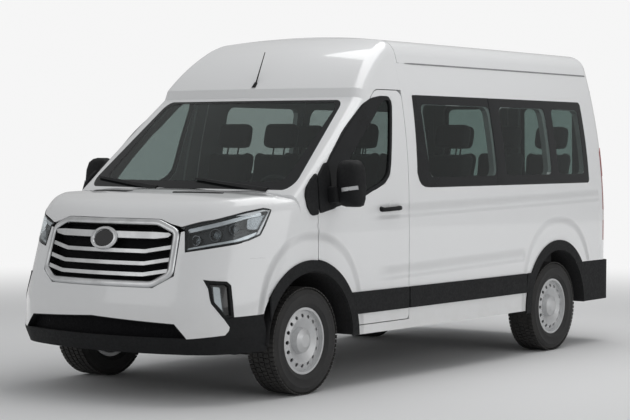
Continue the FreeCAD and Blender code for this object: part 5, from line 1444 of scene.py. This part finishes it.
    def outside(self) -> None:
        """Sets the moulding, the sail, the fixed cap and the handle in its bowl."""
        self.piece("door_moulding").panel(self.STRIP, self.at, 0.012, 0.014, 0.06, 0.0)
        self.piece("mirror_sail").panel(self.SAIL, self.at, 0.012, 0.02, gap=0.0)
        self.piece("mirror_cap", body="body").panel(self.CAP, self.at, 0.010, 0.02, gap=0.0)
        bowl = self.piece("handle_bowl", Finishes.PAINT, "body_paint")
        bowl.of(Shape().lathe(self.BOWL, *self.at(self.BOWL_X, self.BOWL_Z), 40))
        path = []
        for share in (part / self.PARTS for part in range(self.PARTS + 1)):
            x, z = self.HANDLE_X + self.HANDLE_LONG * share, self.HANDLE_Z - self.HANDLE_DROP * share
            spot, out = self.at(x, z)
            lift = self.HANDLE_OUT + self.HANDLE_BOW * math.sin(math.pi * share) ** 0.5
            path.append((spot + out * lift, out))
        turns = [math.tau * part / 12 for part in range(12)]
        grip = [(self.HANDLE_HALF * math.cos(turn), self.HANDLE_THICK * math.sin(turn)) for turn in turns]
        handle = Shape().sweep(path, grip)
        for stud in self.STUDS:
            handle.lathe(self.STUD, *self.at(*stud), 16)
        self.piece("door_handle").of(handle)

    def head_row(self, z: float, half: float, depth: float, inner: float) -> list[Vector]:
        """Shapes one level row of the mirror head: bulging ahead, nearly flat behind.

        Args:
            z: The row's height.
            half: Half its width.
            depth: How far it reaches ahead.
            inner: How far it is set in towards the body.

        Returns:
            The row's points.
        """
        row = []
        for part in range(self.HEAD_PARTS):
            turn = math.tau * part / self.HEAD_PARTS
            waves = (math.cos(turn), math.sin(turn))
            across, ahead = (math.copysign(abs(wave) ** self.HEAD_SQUARE, wave) for wave in waves)
            x = self.HEAD_X + ahead * depth * (1.0 if ahead > 0 else self.HEAD_BACK)
            row.append(Vector((x, self.side.value * (self.HEAD_Y - inner + across * half), z)))
        return row

    def across_block(self, shape: Shape, low: Sequence[float], high: Sequence[float], soft: float) -> Shape:
        """Adds a box that is given for the left side.

        Args:
            shape: The shape that it joins.
            low: The left box's lower corner.
            high: Its upper corner.
            soft: The bevel's width.

        Returns:
            The shape.
        """
        ends = sorted((low[1] * self.side.value, high[1] * self.side.value))
        return shape.block((low[0], ends[0], low[2]), (high[0], ends[1], high[2]), soft)

    def mirror(self) -> None:
        """Shapes the mirror head with its arm, silver strip and glass."""
        head = Shape().tube([self.head_row(*row) for row in self.HEAD])
        self.across_block(head, *self.ARM, self.ARM_SOFT)
        self.piece("mirror_head", stands_for=(self.name("mirror"),)).of(head)
        path, sign = [], self.side.value
        for share in (part / self.PARTS for part in range(self.PARTS + 1)):
            x, y = self.STRIP_X - self.STRIP_BACK * share**3, self.STRIP_Y + self.STRIP_WIDE * share
            spot = Vector((x, sign * y, self.STRIP_Z + self.STRIP_RISE * share))
            path.append((spot, Vector((1.0, sign * self.STRIP_TURN * share, 0.0)).normalized()))
        strip = self.piece("mirror_strip", Finishes.SILVER, "grille_plastic")
        strip.of(Shape().sweep(path, self.MIRROR_STRIP))
        glass = self.across_block(Shape(), *self.GLASS, self.GLASS_SOFT)
        self.piece("mirror_glass", Finishes.MIRROR, "lamp_lens").of(glass)

    def build(self) -> None:
        """Builds the door's pieces."""
        for stage in (self.panel, self.glass, self.outside, self.mirror):
            stage()


class SideTrim:
    """Rear arch rings and liners, moulding ends, the glass bridge, tail lamp tops and gutter lines."""

    INNER, OUTER, LINER = 0.458, 0.536, 0.4555
    BUMPER_TOP = 0.692
    RING_START = -2.0
    RING_PARTS, LINER_PARTS, GUTTER_PARTS = 24, 40, 30
    TAIL_ROUND, TAIL_X, TAIL_SIDE_X = 0.140, -2.4695, -2.50
    PROUD, THICK = 0.012, 0.014
    ENDS = (
        (-1.150, 0.500), (-1.140, 0.500), (-1.170, 0.650), (-1.235, 0.650), (-1.215, 0.560), (-1.205, 0.500)
    )
    BRIDGE = ((-0.800, 1.346), (-0.730, 1.346), (-0.730, 2.009), (-0.800, 2.009))
    CORNER = (
        (0.333, 2.008), (0.392, 1.450), (0.372, 1.395), (0.345, 1.366), (0.300, 1.350), (0.233, 1.346),
        (0.090, 1.346), (0.090, 1.412), (0.200, 1.412), (0.222, 1.450), (0.290, 2.008),
    )
    GUTTER = ((-0.005, -0.004), (-0.005, 0.003), (0.005, 0.003), (0.005, -0.004))
    GUTTER_START, GUTTER_Z, GUTTER_REACH = -2.56, 2.236, 10.0

    def trim(self, name: str, shape: Shape, finish: Finish = Finishes.TRIM, slot: str = "black_trim") -> None:
        """Puts one piece in the scene on both sides."""
        Piece(name, finish, slot, both_sides=True).of(shape)

    def arc(self, radius: float, turn: float, centre: float = -AXLE_X) -> Spot:
        """The place along and above at a turn about a wheel's centre."""
        return centre + radius * math.cos(turn), AXLE_Z + radius * math.sin(turn)

    def ring(self) -> list[Spot]:
        """Draws the rear arch ring, from the moulding to the bumper's top.

        Returns:
            The ring's outline.
        """
        edges = []
        for radius in (self.OUTER, self.INNER):
            last = 180.0 - math.degrees(math.asin((self.BUMPER_TOP - AXLE_Z) / radius))
            run = (last - self.RING_START) / self.RING_PARTS
            turns = [math.radians(self.RING_START + part * run) for part in range(self.RING_PARTS + 1)]
            edges.append([self.arc(radius, turn) for turn in turns])
        return [*edges[0], *reversed(edges[1])]

    def tail_corner(self, turn: float, up: float) -> Surface:
        """Finds the left rear corner's outside.

        Args:
            turn: The turn about an upright line inside the corner.
            up: The height.

        Returns:
            The point and its outward direction.
        """
        way = Vector((math.cos(turn), math.sin(turn), 0.0))
        middle = Vector((self.TAIL_X, FORM.side(self.TAIL_SIDE_X, up) - self.TAIL_ROUND, up))
        return middle + way * self.TAIL_ROUND, way

    def lamp_tops(self) -> None:
        """Carries the tail lamps up to their full height."""
        first, last = math.radians(100.0), math.radians(178.0)
        outline = [
            (first, 1.398), (last, 1.398), (last, 1.590), (last - 0.3, 1.632), (first + 0.3, 1.632),
            (first, 1.600),
        ]
        tops = Shape().sheet(outline, 0.05, self.tail_corner, 0.005, 0.012)
        self.trim("tail_lamp_tops", tops, Finishes.RED, "red_lens")

    def liners(self) -> None:
        """Lines the four wheel arches in black."""
        liners = Shape()
        for centre in (AXLE_X, -AXLE_X):
            rows = []
            for part in range(self.LINER_PARTS + 1):
                turn = math.radians(1.0 + part * 178.0 / self.LINER_PARTS)
                row = []
                for across, more in ((0.620, 0.0), (1.020, 0.0), (1.020, 0.002), (0.620, 0.002)):
                    x, z = self.arc(self.LINER + more, turn, centre)
                    row.append(Vector((x, min(across, FORM.side(x, z) + 0.009), z)))
                rows.append(row)
            liners.tube(rows)
        self.trim("arch_liners", liners, Finishes.SEAL)

    def gutters(self) -> None:
        """Lays the gutter lines where side and roof meet, found by rays on the CAD."""
        points, faces = [], []
        for name in ("body_side_left", "roof_panel"):
            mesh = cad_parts[name].data
            faces += [tuple(len(points) + number for number in face.vertices) for face in mesh.polygons]
            points += [corner.co.copy() for corner in mesh.vertices]
        tree = BVHTree.FromPolygons(points, faces)
        way, path = Vector((0.0, -1.0, 0.0)), []
        for part in range(self.GUTTER_PARTS + 1):
            start = Vector((self.GUTTER_START + 0.1 * part, 2.0, self.GUTTER_Z))
            place, normal, _, _ = tree.ray_cast(start, way)
            if place is None:
                place, normal, _, _ = tree.find_nearest(start + way * self.GUTTER_REACH)
            path.append((place, normal if normal.dot(way) < 0 else -normal))
        self.trim("roof_gutters", Shape().sweep(path, self.GUTTER), Finishes.GREY_TRIM)

    def build(self) -> None:
        """Builds the trim, the glass bridge on the left only."""
        self.trim("rear_arch_rings", Shape().sheet(self.ring(), 0.06, side_face, self.PROUD, self.THICK))
        self.trim("moulding_ends", Shape().sheet(self.ENDS, 0.05, side_face, self.PROUD, self.THICK))
        bridge = Shape().sheet(self.BRIDGE, 0.05, side_face, 0.0008, 0.008)
        bridge.sheet(rounded(self.CORNER, 0.01), 0.05, side_face, 0.0012, 0.004)
        Piece("glass_bridge", Finishes.BORDER, "tinted_glass").of(bridge)
        self.liners()
        self.lamp_tops()
        self.gutters()


class Seats:
    """Padded seats on steel frames for the driver, the front bench and three rows."""

    HALF = 0.2125
    SEAMS = (-0.125, 0.125)
    BASE = ((-0.470, -HALF, 0.935), (-0.005, HALF, 1.055), SEAMS)
    BACK = ((-0.105, -HALF, 0.010), (-0.005, HALF, 0.700), SEAMS)
    REST = ((-0.105, -0.150, 0.728), (-0.010, 0.150, 0.918), ())
    LEG = ((-0.376, -0.018, 0.642), (-0.094, 0.018, 0.925), 0.006)
    STEEL = ((-0.150, *LEG), (0.150, *LEG), (0.0, (-0.440, -0.200, 0.905), (-0.050, 0.200, 0.938), 0.008))
    POSTS = ((-0.055, -0.05, 0.67), (-0.055, 0.05, 0.67))
    HINGE_BACK, HINGE_Z = 0.415, 0.930
    FRONT = ((1.030, 0.470), (1.030, -0.250), (1.030, -0.690))
    REAR = tuple((row, across) for row in (0.090, -0.690, -1.470) for across in (0.684, 0.244, -0.690))
    LEAN = math.radians(14.0)
    VOXEL = 0.030
    AIR, AIR_FRAMES, SWELL = 4.0, 20, 0.024
    WELT, WELT_DEPTH = 0.012, 0.010

    def swell(self, made: bpy.types.Object) -> None:
        """Blows a cover up with air, by a cloth simulation.

        Args:
            made: The cover's object.
        """
        cloth = made.modifiers.new("cloth", "CLOTH")
        cloth.settings.quality = 4
        cloth.settings.use_pressure = True
        cloth.settings.uniform_pressure_force = self.AIR
        cloth.settings.effector_weights.gravity = 0.0
        cloth.point_cache.frame_start = 1
        cloth.point_cache.frame_end = self.AIR_FRAMES
        for number in range(1, self.AIR_FRAMES + 1):
            bpy.context.scene.frame_set(number)
        modified(made)
        bpy.context.scene.frame_set(1)

    def cushion(
        self, name: str, low: Sequence[float], high: Sequence[float], seams: Sequence[float]
    ) -> bpy.types.Mesh:
        """Swells one cover and keeps its shape.

        Args:
            name: The cushion's name.
            low: Its lower corner.
            high: Its upper corner.
            seams: Where welts pull it in across its width.

        Returns:
            The cushion's mesh.
        """
        made = added(name, Shape().block(low, high, 0.028).mesh(name))
        voxel = made.modifiers.new("remesh", "REMESH")
        voxel.mode = "VOXEL"
        voxel.voxel_size = self.VOXEL
        modified(made)
        rest = [corner.co.copy() for corner in made.data.vertices]
        self.swell(made)
        for corner, start in zip(made.data.vertices, rest):
            moved = corner.co - start
            if moved.length > self.SWELL:
                corner.co = start + moved.normalized() * self.SWELL
            for seam in seams:
                pull = math.exp(-(((corner.co.y - seam) / self.WELT) ** 2))
                middle = Vector(((low[0] + high[0]) / 2, corner.co.y, (low[2] + high[2]) / 2))
                corner.co += (middle - corner.co).normalized() * self.WELT_DEPTH * pull
        finer = made.modifiers.new("finer", "SUBSURF")
        finer.levels = finer.render_levels = 1
        modified(made)
        mesh = made.data
        bpy.data.objects.remove(made)
        return mesh

    def frames(self, steel: Shape, x: float, y: float, hinge: Matrix) -> None:
        """Adds one seat's steel frame and the posts of its head restraint.

        Args:
            steel: The frames in the making.
            x: The seat's front edge.
            y: Its middle.
            hinge: The transform of its back.
        """
        for across, low, high, soft in self.STEEL:
            middle = y + across
            steel.block((x + low[0], middle + low[1], low[2]), (x + high[0], middle + high[1], high[2]), soft)
        up = hinge.to_3x3() @ Vector((0, 0, 1))
        for post in self.POSTS:
            steel.lathe(((0.006, 0.0), (0.006, 0.10)), hinge @ Vector(post), up, 12)

    def build(self) -> None:
        """Builds the front and the rear seats."""
        base = self.cushion("seat_base", *self.BASE)
        back = self.cushion("seat_back", *self.BACK)
        rest = self.cushion("head_rest", *self.REST)
        lean = Matrix.Rotation(-self.LEAN, 4, "Y")
        for word, places in (("front", self.FRONT), ("rear", self.REAR)):
            cover, steel = Shape(), Shape()
            for x, y in places:
                hinge = Matrix.Translation((x - self.HINGE_BACK, y, self.HINGE_Z)) @ lean
                cover.join(base, Matrix.Translation((x, y, 0.0))).join(back, hinge).join(rest, hinge)
                self.frames(steel, x, y, hinge)
            covers = Piece(f"{word}_seat_covers", Finishes.CLOTH, "seat_cloth", stands_for=(f"{word}_seats",))
            padded = covers.of(cover)
            Piece(f"{word}_seat_frames", Finishes.CHASSIS, "chassis_steel").of(steel)


@dataclass
class Tread:
    """One tyre: a turned carcass with tread blocks set round it by geometry nodes."""

    body: str
    centre: Vector
    tyre: str

    ROWS = (
        (-0.089, 72, 0.034), (-0.044, 62, 0.034), (0.0, 66, 0.032), (0.044, 62, 0.034), (0.089, 72, 0.034)
    )
    RADIUS = 0.3518
    FILL = 0.78
    HIGH = 0.008
    WALL = (
        (0.2225, 0.094), (0.236, 0.1065), (0.248, 0.1120), (0.2495, 0.1135), (0.256, 0.1140),
        (0.2575, 0.1130), (0.290, 0.1168), (0.305, 0.1158), (0.3065, 0.1170), (0.312, 0.1162),
        (0.3135, 0.1145), (0.334, 0.1080), (0.3440, 0.098), (0.3478, 0.075), (0.3485, 0.0),
    )
    BEAD = ((0.2165, -0.085), (0.2165, 0.085))
    INPUTS = {
        "Row count": "NodeSocketInt", "Row radius": "NodeSocketFloat", "Row offset": "NodeSocketFloat",
        "Block size": "NodeSocketVector", "Rubber": "NodeSocketMaterial",
    }

    @classmethod
    def group(cls) -> bpy.types.NodeTree:
        """Makes the node group that sets one row of blocks.

        Returns:
            The node group.
        """
        tree = bpy.data.node_groups.new("tread_row", "GeometryNodeTree")
        for label, kind in cls.INPUTS.items():
            tree.interface.new_socket(label, in_out="INPUT", socket_type=kind)
        tree.interface.new_socket("Blocks", in_out="OUTPUT", socket_type="NodeSocketGeometry")
        graph = Graph(tree)
        given = graph.add("NodeGroupInput").outputs
        ring = {"Resolution": 96, "Radius": given["Row radius"]}
        circle = graph.add("GeometryNodeCurvePrimitiveCircle", ring).outputs["Curve"]
        spread = {"Curve": circle, "Count": given["Row count"]}
        points = graph.add("GeometryNodeCurveToPoints", spread).outputs
        block = graph.add("GeometryNodeMeshCube", {"Size": given["Block size"]}).outputs["Mesh"]
        feed = {"Points": points["Points"], "Instance": block, "Rotation": points["Rotation"]}
        put = graph.add("GeometryNodeInstanceOnPoints", feed).outputs[0]
        real = graph.add("GeometryNodeRealizeInstances", {0: put}).outputs[0]
        shift = graph.add("ShaderNodeCombineXYZ", {"Z": given["Row offset"]}).outputs[0]
        moved = graph.add("GeometryNodeTransform", {"Geometry": real, "Translation": shift}).outputs[0]
        dressed = {"Geometry": moved, "Material": given["Rubber"]}
        graph.add("NodeGroupOutput", {0: graph.add("GeometryNodeSetMaterial", dressed).outputs[0]})
        return tree

    def build(self, tree: bpy.types.NodeTree) -> None:
        """Turns the carcass, sets the blocks and keeps them as one mesh.

        Args:
            tree: The node group of one row.
        """
        other_wall = [(radius, -across) for radius, across in reversed(self.WALL[:-1])]
        profile = [*self.WALL, *other_wall, *self.BEAD]
        carcass = Piece(f"carcass_{self.tyre}", Finishes.TYRE, "tyre_rubber", self.body, (self.tyre,))
        carcass.of(Shape().lathe(profile, self.centre, Vector((0.0, 1.0, 0.0)), 96, True))
        blocks = Shape()
        turn = Matrix.Translation(self.centre) @ Matrix.Rotation(math.radians(90.0), 4, "X")
        for offset, count, wide in self.ROWS:
            carrier = added("tread_carrier", bpy.data.meshes.new("tread_carrier"))
            rule = carrier.modifiers.new("tread", "NODES")
            rule.node_group = tree
            values = {
                "Row count": count, "Row radius": self.RADIUS, "Row offset": offset,
                "Block size": (self.HIGH, wide, math.tau * self.RADIUS / count * self.FILL),
                "Rubber": Finishes.TYRE.material(),
            }
            for item in tree.interface.items_tree:
                if item.in_out == "INPUT":
                    rule[item.identifier] = values[item.name]
            modified(carrier)
            blocks.join(carrier.data, turn)
            bpy.data.objects.remove(carrier)
        Piece(f"tread_{self.tyre}", Finishes.TYRE, "tyre_rubber", self.body, smooth=False).of(blocks)


@dataclass
class Studio:
    """Pale floor, soft lamps and a white surround."""

    floor_size: float = 60.0
    floor_colour: Colour = (0.80, 0.80, 0.80)
    white: Colour = (0.92, 0.92, 0.92)
    sky: float = 0.39
    sky_colour: Colour = (0.97, 0.985, 1.0)
    gloss: float = 0.5
    gloss_colour: Colour = (0.9, 0.9, 0.9)

    FADE = (4.5, 12.0)
    LAMPS = (
        ("top_lamp", (-1.6, 0.8, 7.5), (-0.6, 0.0, 0.0), (8.0, 5.0), 280.0),
        ("side_lamp", (0.5, 9.0, 3.0), (0.0, 0.0, 1.0), (10.0, 3.5), 120.0),
        ("front_lamp", (9.5, -2.5, 3.6), (1.5, 0.0, 1.0), (5.0, 3.0), 36.0),
    )

    def floor(self) -> None:
        """Lays the floor just under the tyres, fading to white far out."""
        ground = Shape()
        bmesh.ops.create_grid(ground.built, x_segments=2, y_segments=2, size=self.floor_size / 2)
        laid = added("studio_floor", ground.mesh("studio_floor"))
        laid.location = (0.0, 0.0, cad_box[0].z - 0.001)
        material = bpy.data.materials.new("studio_floor_finish")
        material.use_nodes = True
        material.node_tree.nodes.clear()
        graph = Graph(material.node_tree)
        place = graph.add("ShaderNodeTexCoord").outputs["Object"]
        tone = graph.mix(graph.noise(place, 2.0), self.floor_colour, shaded(self.floor_colour, 0.985))
        matt = graph.add("ShaderNodeBsdfPrincipled", {"Base Color": tone, "Roughness": 0.9}).outputs[0]
        lit = graph.add("ShaderNodeEmission", {"Color": (*self.white, 1.0)}).outputs[0]
        middle = graph.add("ShaderNodeVectorMath", {0: place}, operation="LENGTH").outputs["Value"]
        surface = graph.blend(graph.step(middle, *self.FADE), matt, lit)
        graph.add("ShaderNodeOutputMaterial", {"Surface": surface})
        laid.data.materials.append(material)

    def lamp(self, name: str, place: Sequence[float], aim: Sequence[float], size: Spot, power: float) -> None:
        """Hangs one soft lamp.

        Args:
            name: The lamp's name.
            place: Where it hangs.
            aim: The point that it looks at.
            size: Its width and height.
            power: Its power in watts.
        """
        data = bpy.data.lights.new(name, "AREA")
        data.shape = "RECTANGLE"
        data.size, data.size_y = size
        data.energy = power
        hung = added(name, data)
        hung.location = place
        hung.rotation_euler = (Vector(aim) - Vector(place)).to_track_quat("-Z", "Y").to_euler()

    def surround(self) -> None:
        """Fills the world with soft light and shows it white to the camera, in glass and in gloss."""
        world = bpy.data.worlds.new("studio")
        world.use_nodes = True
        world.node_tree.nodes.clear()
        graph = Graph(world.node_tree)
        rays = graph.add("ShaderNodeLightPath").outputs
        lights = ((self.sky_colour, self.sky), (self.gloss_colour, self.gloss), (self.white, 1.0))
        soft, gloss, white = (
            graph.add("ShaderNodeBackground", {"Color": (*colour, 1.0), "Strength": strength}).outputs[0]
            for colour, strength in lights
        )
        seen = graph.math("MAXIMUM", rays["Is Camera Ray"], rays["Is Transmission Ray"])
        lit = graph.blend(rays["Is Glossy Ray"], soft, gloss)
        graph.add("ShaderNodeOutputWorld", {"Surface": graph.blend(seen, lit, white)})
        bpy.context.scene.world = world

    def build(self) -> None:
        """Sets the stage, the lamps and the colour handling."""
        self.floor()
        self.surround()
        for lamp in self.LAMPS:
            self.lamp(*lamp)
        bpy.context.scene.view_settings.view_transform = "Standard"
        log.info("studio: floor, surround and %d lamps", len(self.LAMPS))


class CadFinishes:
    """Gives every CAD node its finish."""

    PLAN = {
        Finishes.PAINT: (
            "body_side_left", "body_side_right", "sliding_door", "roof_panel", "cab_frame", "door_panel_left",
            "door_panel_right", "rear_door_left", "rear_door_right", "bonnet", "front_wings", "front_bumper",
        ),
        Finishes.TRIM: (
            "rear_bumper", "lower_bumper", "mouldings", "mirror_left", "mirror_right", "cowl", "aerial",
        ),
        Finishes.SIDE_GLASS: ("side_glass",),
        Finishes.SCREEN: ("windscreen",),
        Finishes.DOOR_GLASS: ("door_glass_left", "door_glass_right"),
        Finishes.REAR_GLASS: ("rear_glass_left", "rear_glass_right"),
        Finishes.RED: ("tail_lamps",),
        Finishes.GLOSS_TRIM: ("grille",),
        Finishes.DARK_LAMP: ("headlamps",),
        Finishes.DASH: ("dashboard", "steering_wheel"),
        Finishes.CLOTH: ("front_seats", "rear_seats"),
        Finishes.FLOOR_MAT: ("floor",),
        Finishes.CHASSIS: (
            "front_subframe", "rear_axle", "engine", "fuel_tank", "knuckle_left", "knuckle_right",
        ),
        Finishes.STEEL: ("exhaust",),
    }

    def dress(self) -> None:
        """Puts the materials on the CAD nodes. A node outside the plan is a tyre or a rim."""
        finishes = {name: finish for finish, names in self.PLAN.items() for name in names}
        for name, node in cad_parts.items():
            material = finishes.get(name, Finishes.TYRE if "tyre" in name else Finishes.WHEEL).material()
            if not node.data.materials:
                node.data.materials.append(material)
            for slot in node.material_slots:
                slot.material = material
        log.info("finishes on %d CAD nodes", len(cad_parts))


def main() -> None:
    """Builds the scene in order."""
    PhotoCamera().build()
    CadFinishes().dress()
    FrontEnd().build()
    for side in Side:
        Door(side).build()
    SideTrim().build()
    Seats().build()
    tread = Tread.group()
    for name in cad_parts:
        if "tyre" in name:
            low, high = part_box(name)
            Tread(name.replace("tyre", "wheel"), (Vector(low) + Vector(high)) / 2, name).build(tread)
    Studio().build()


if __name__ == "__main__":
    main()
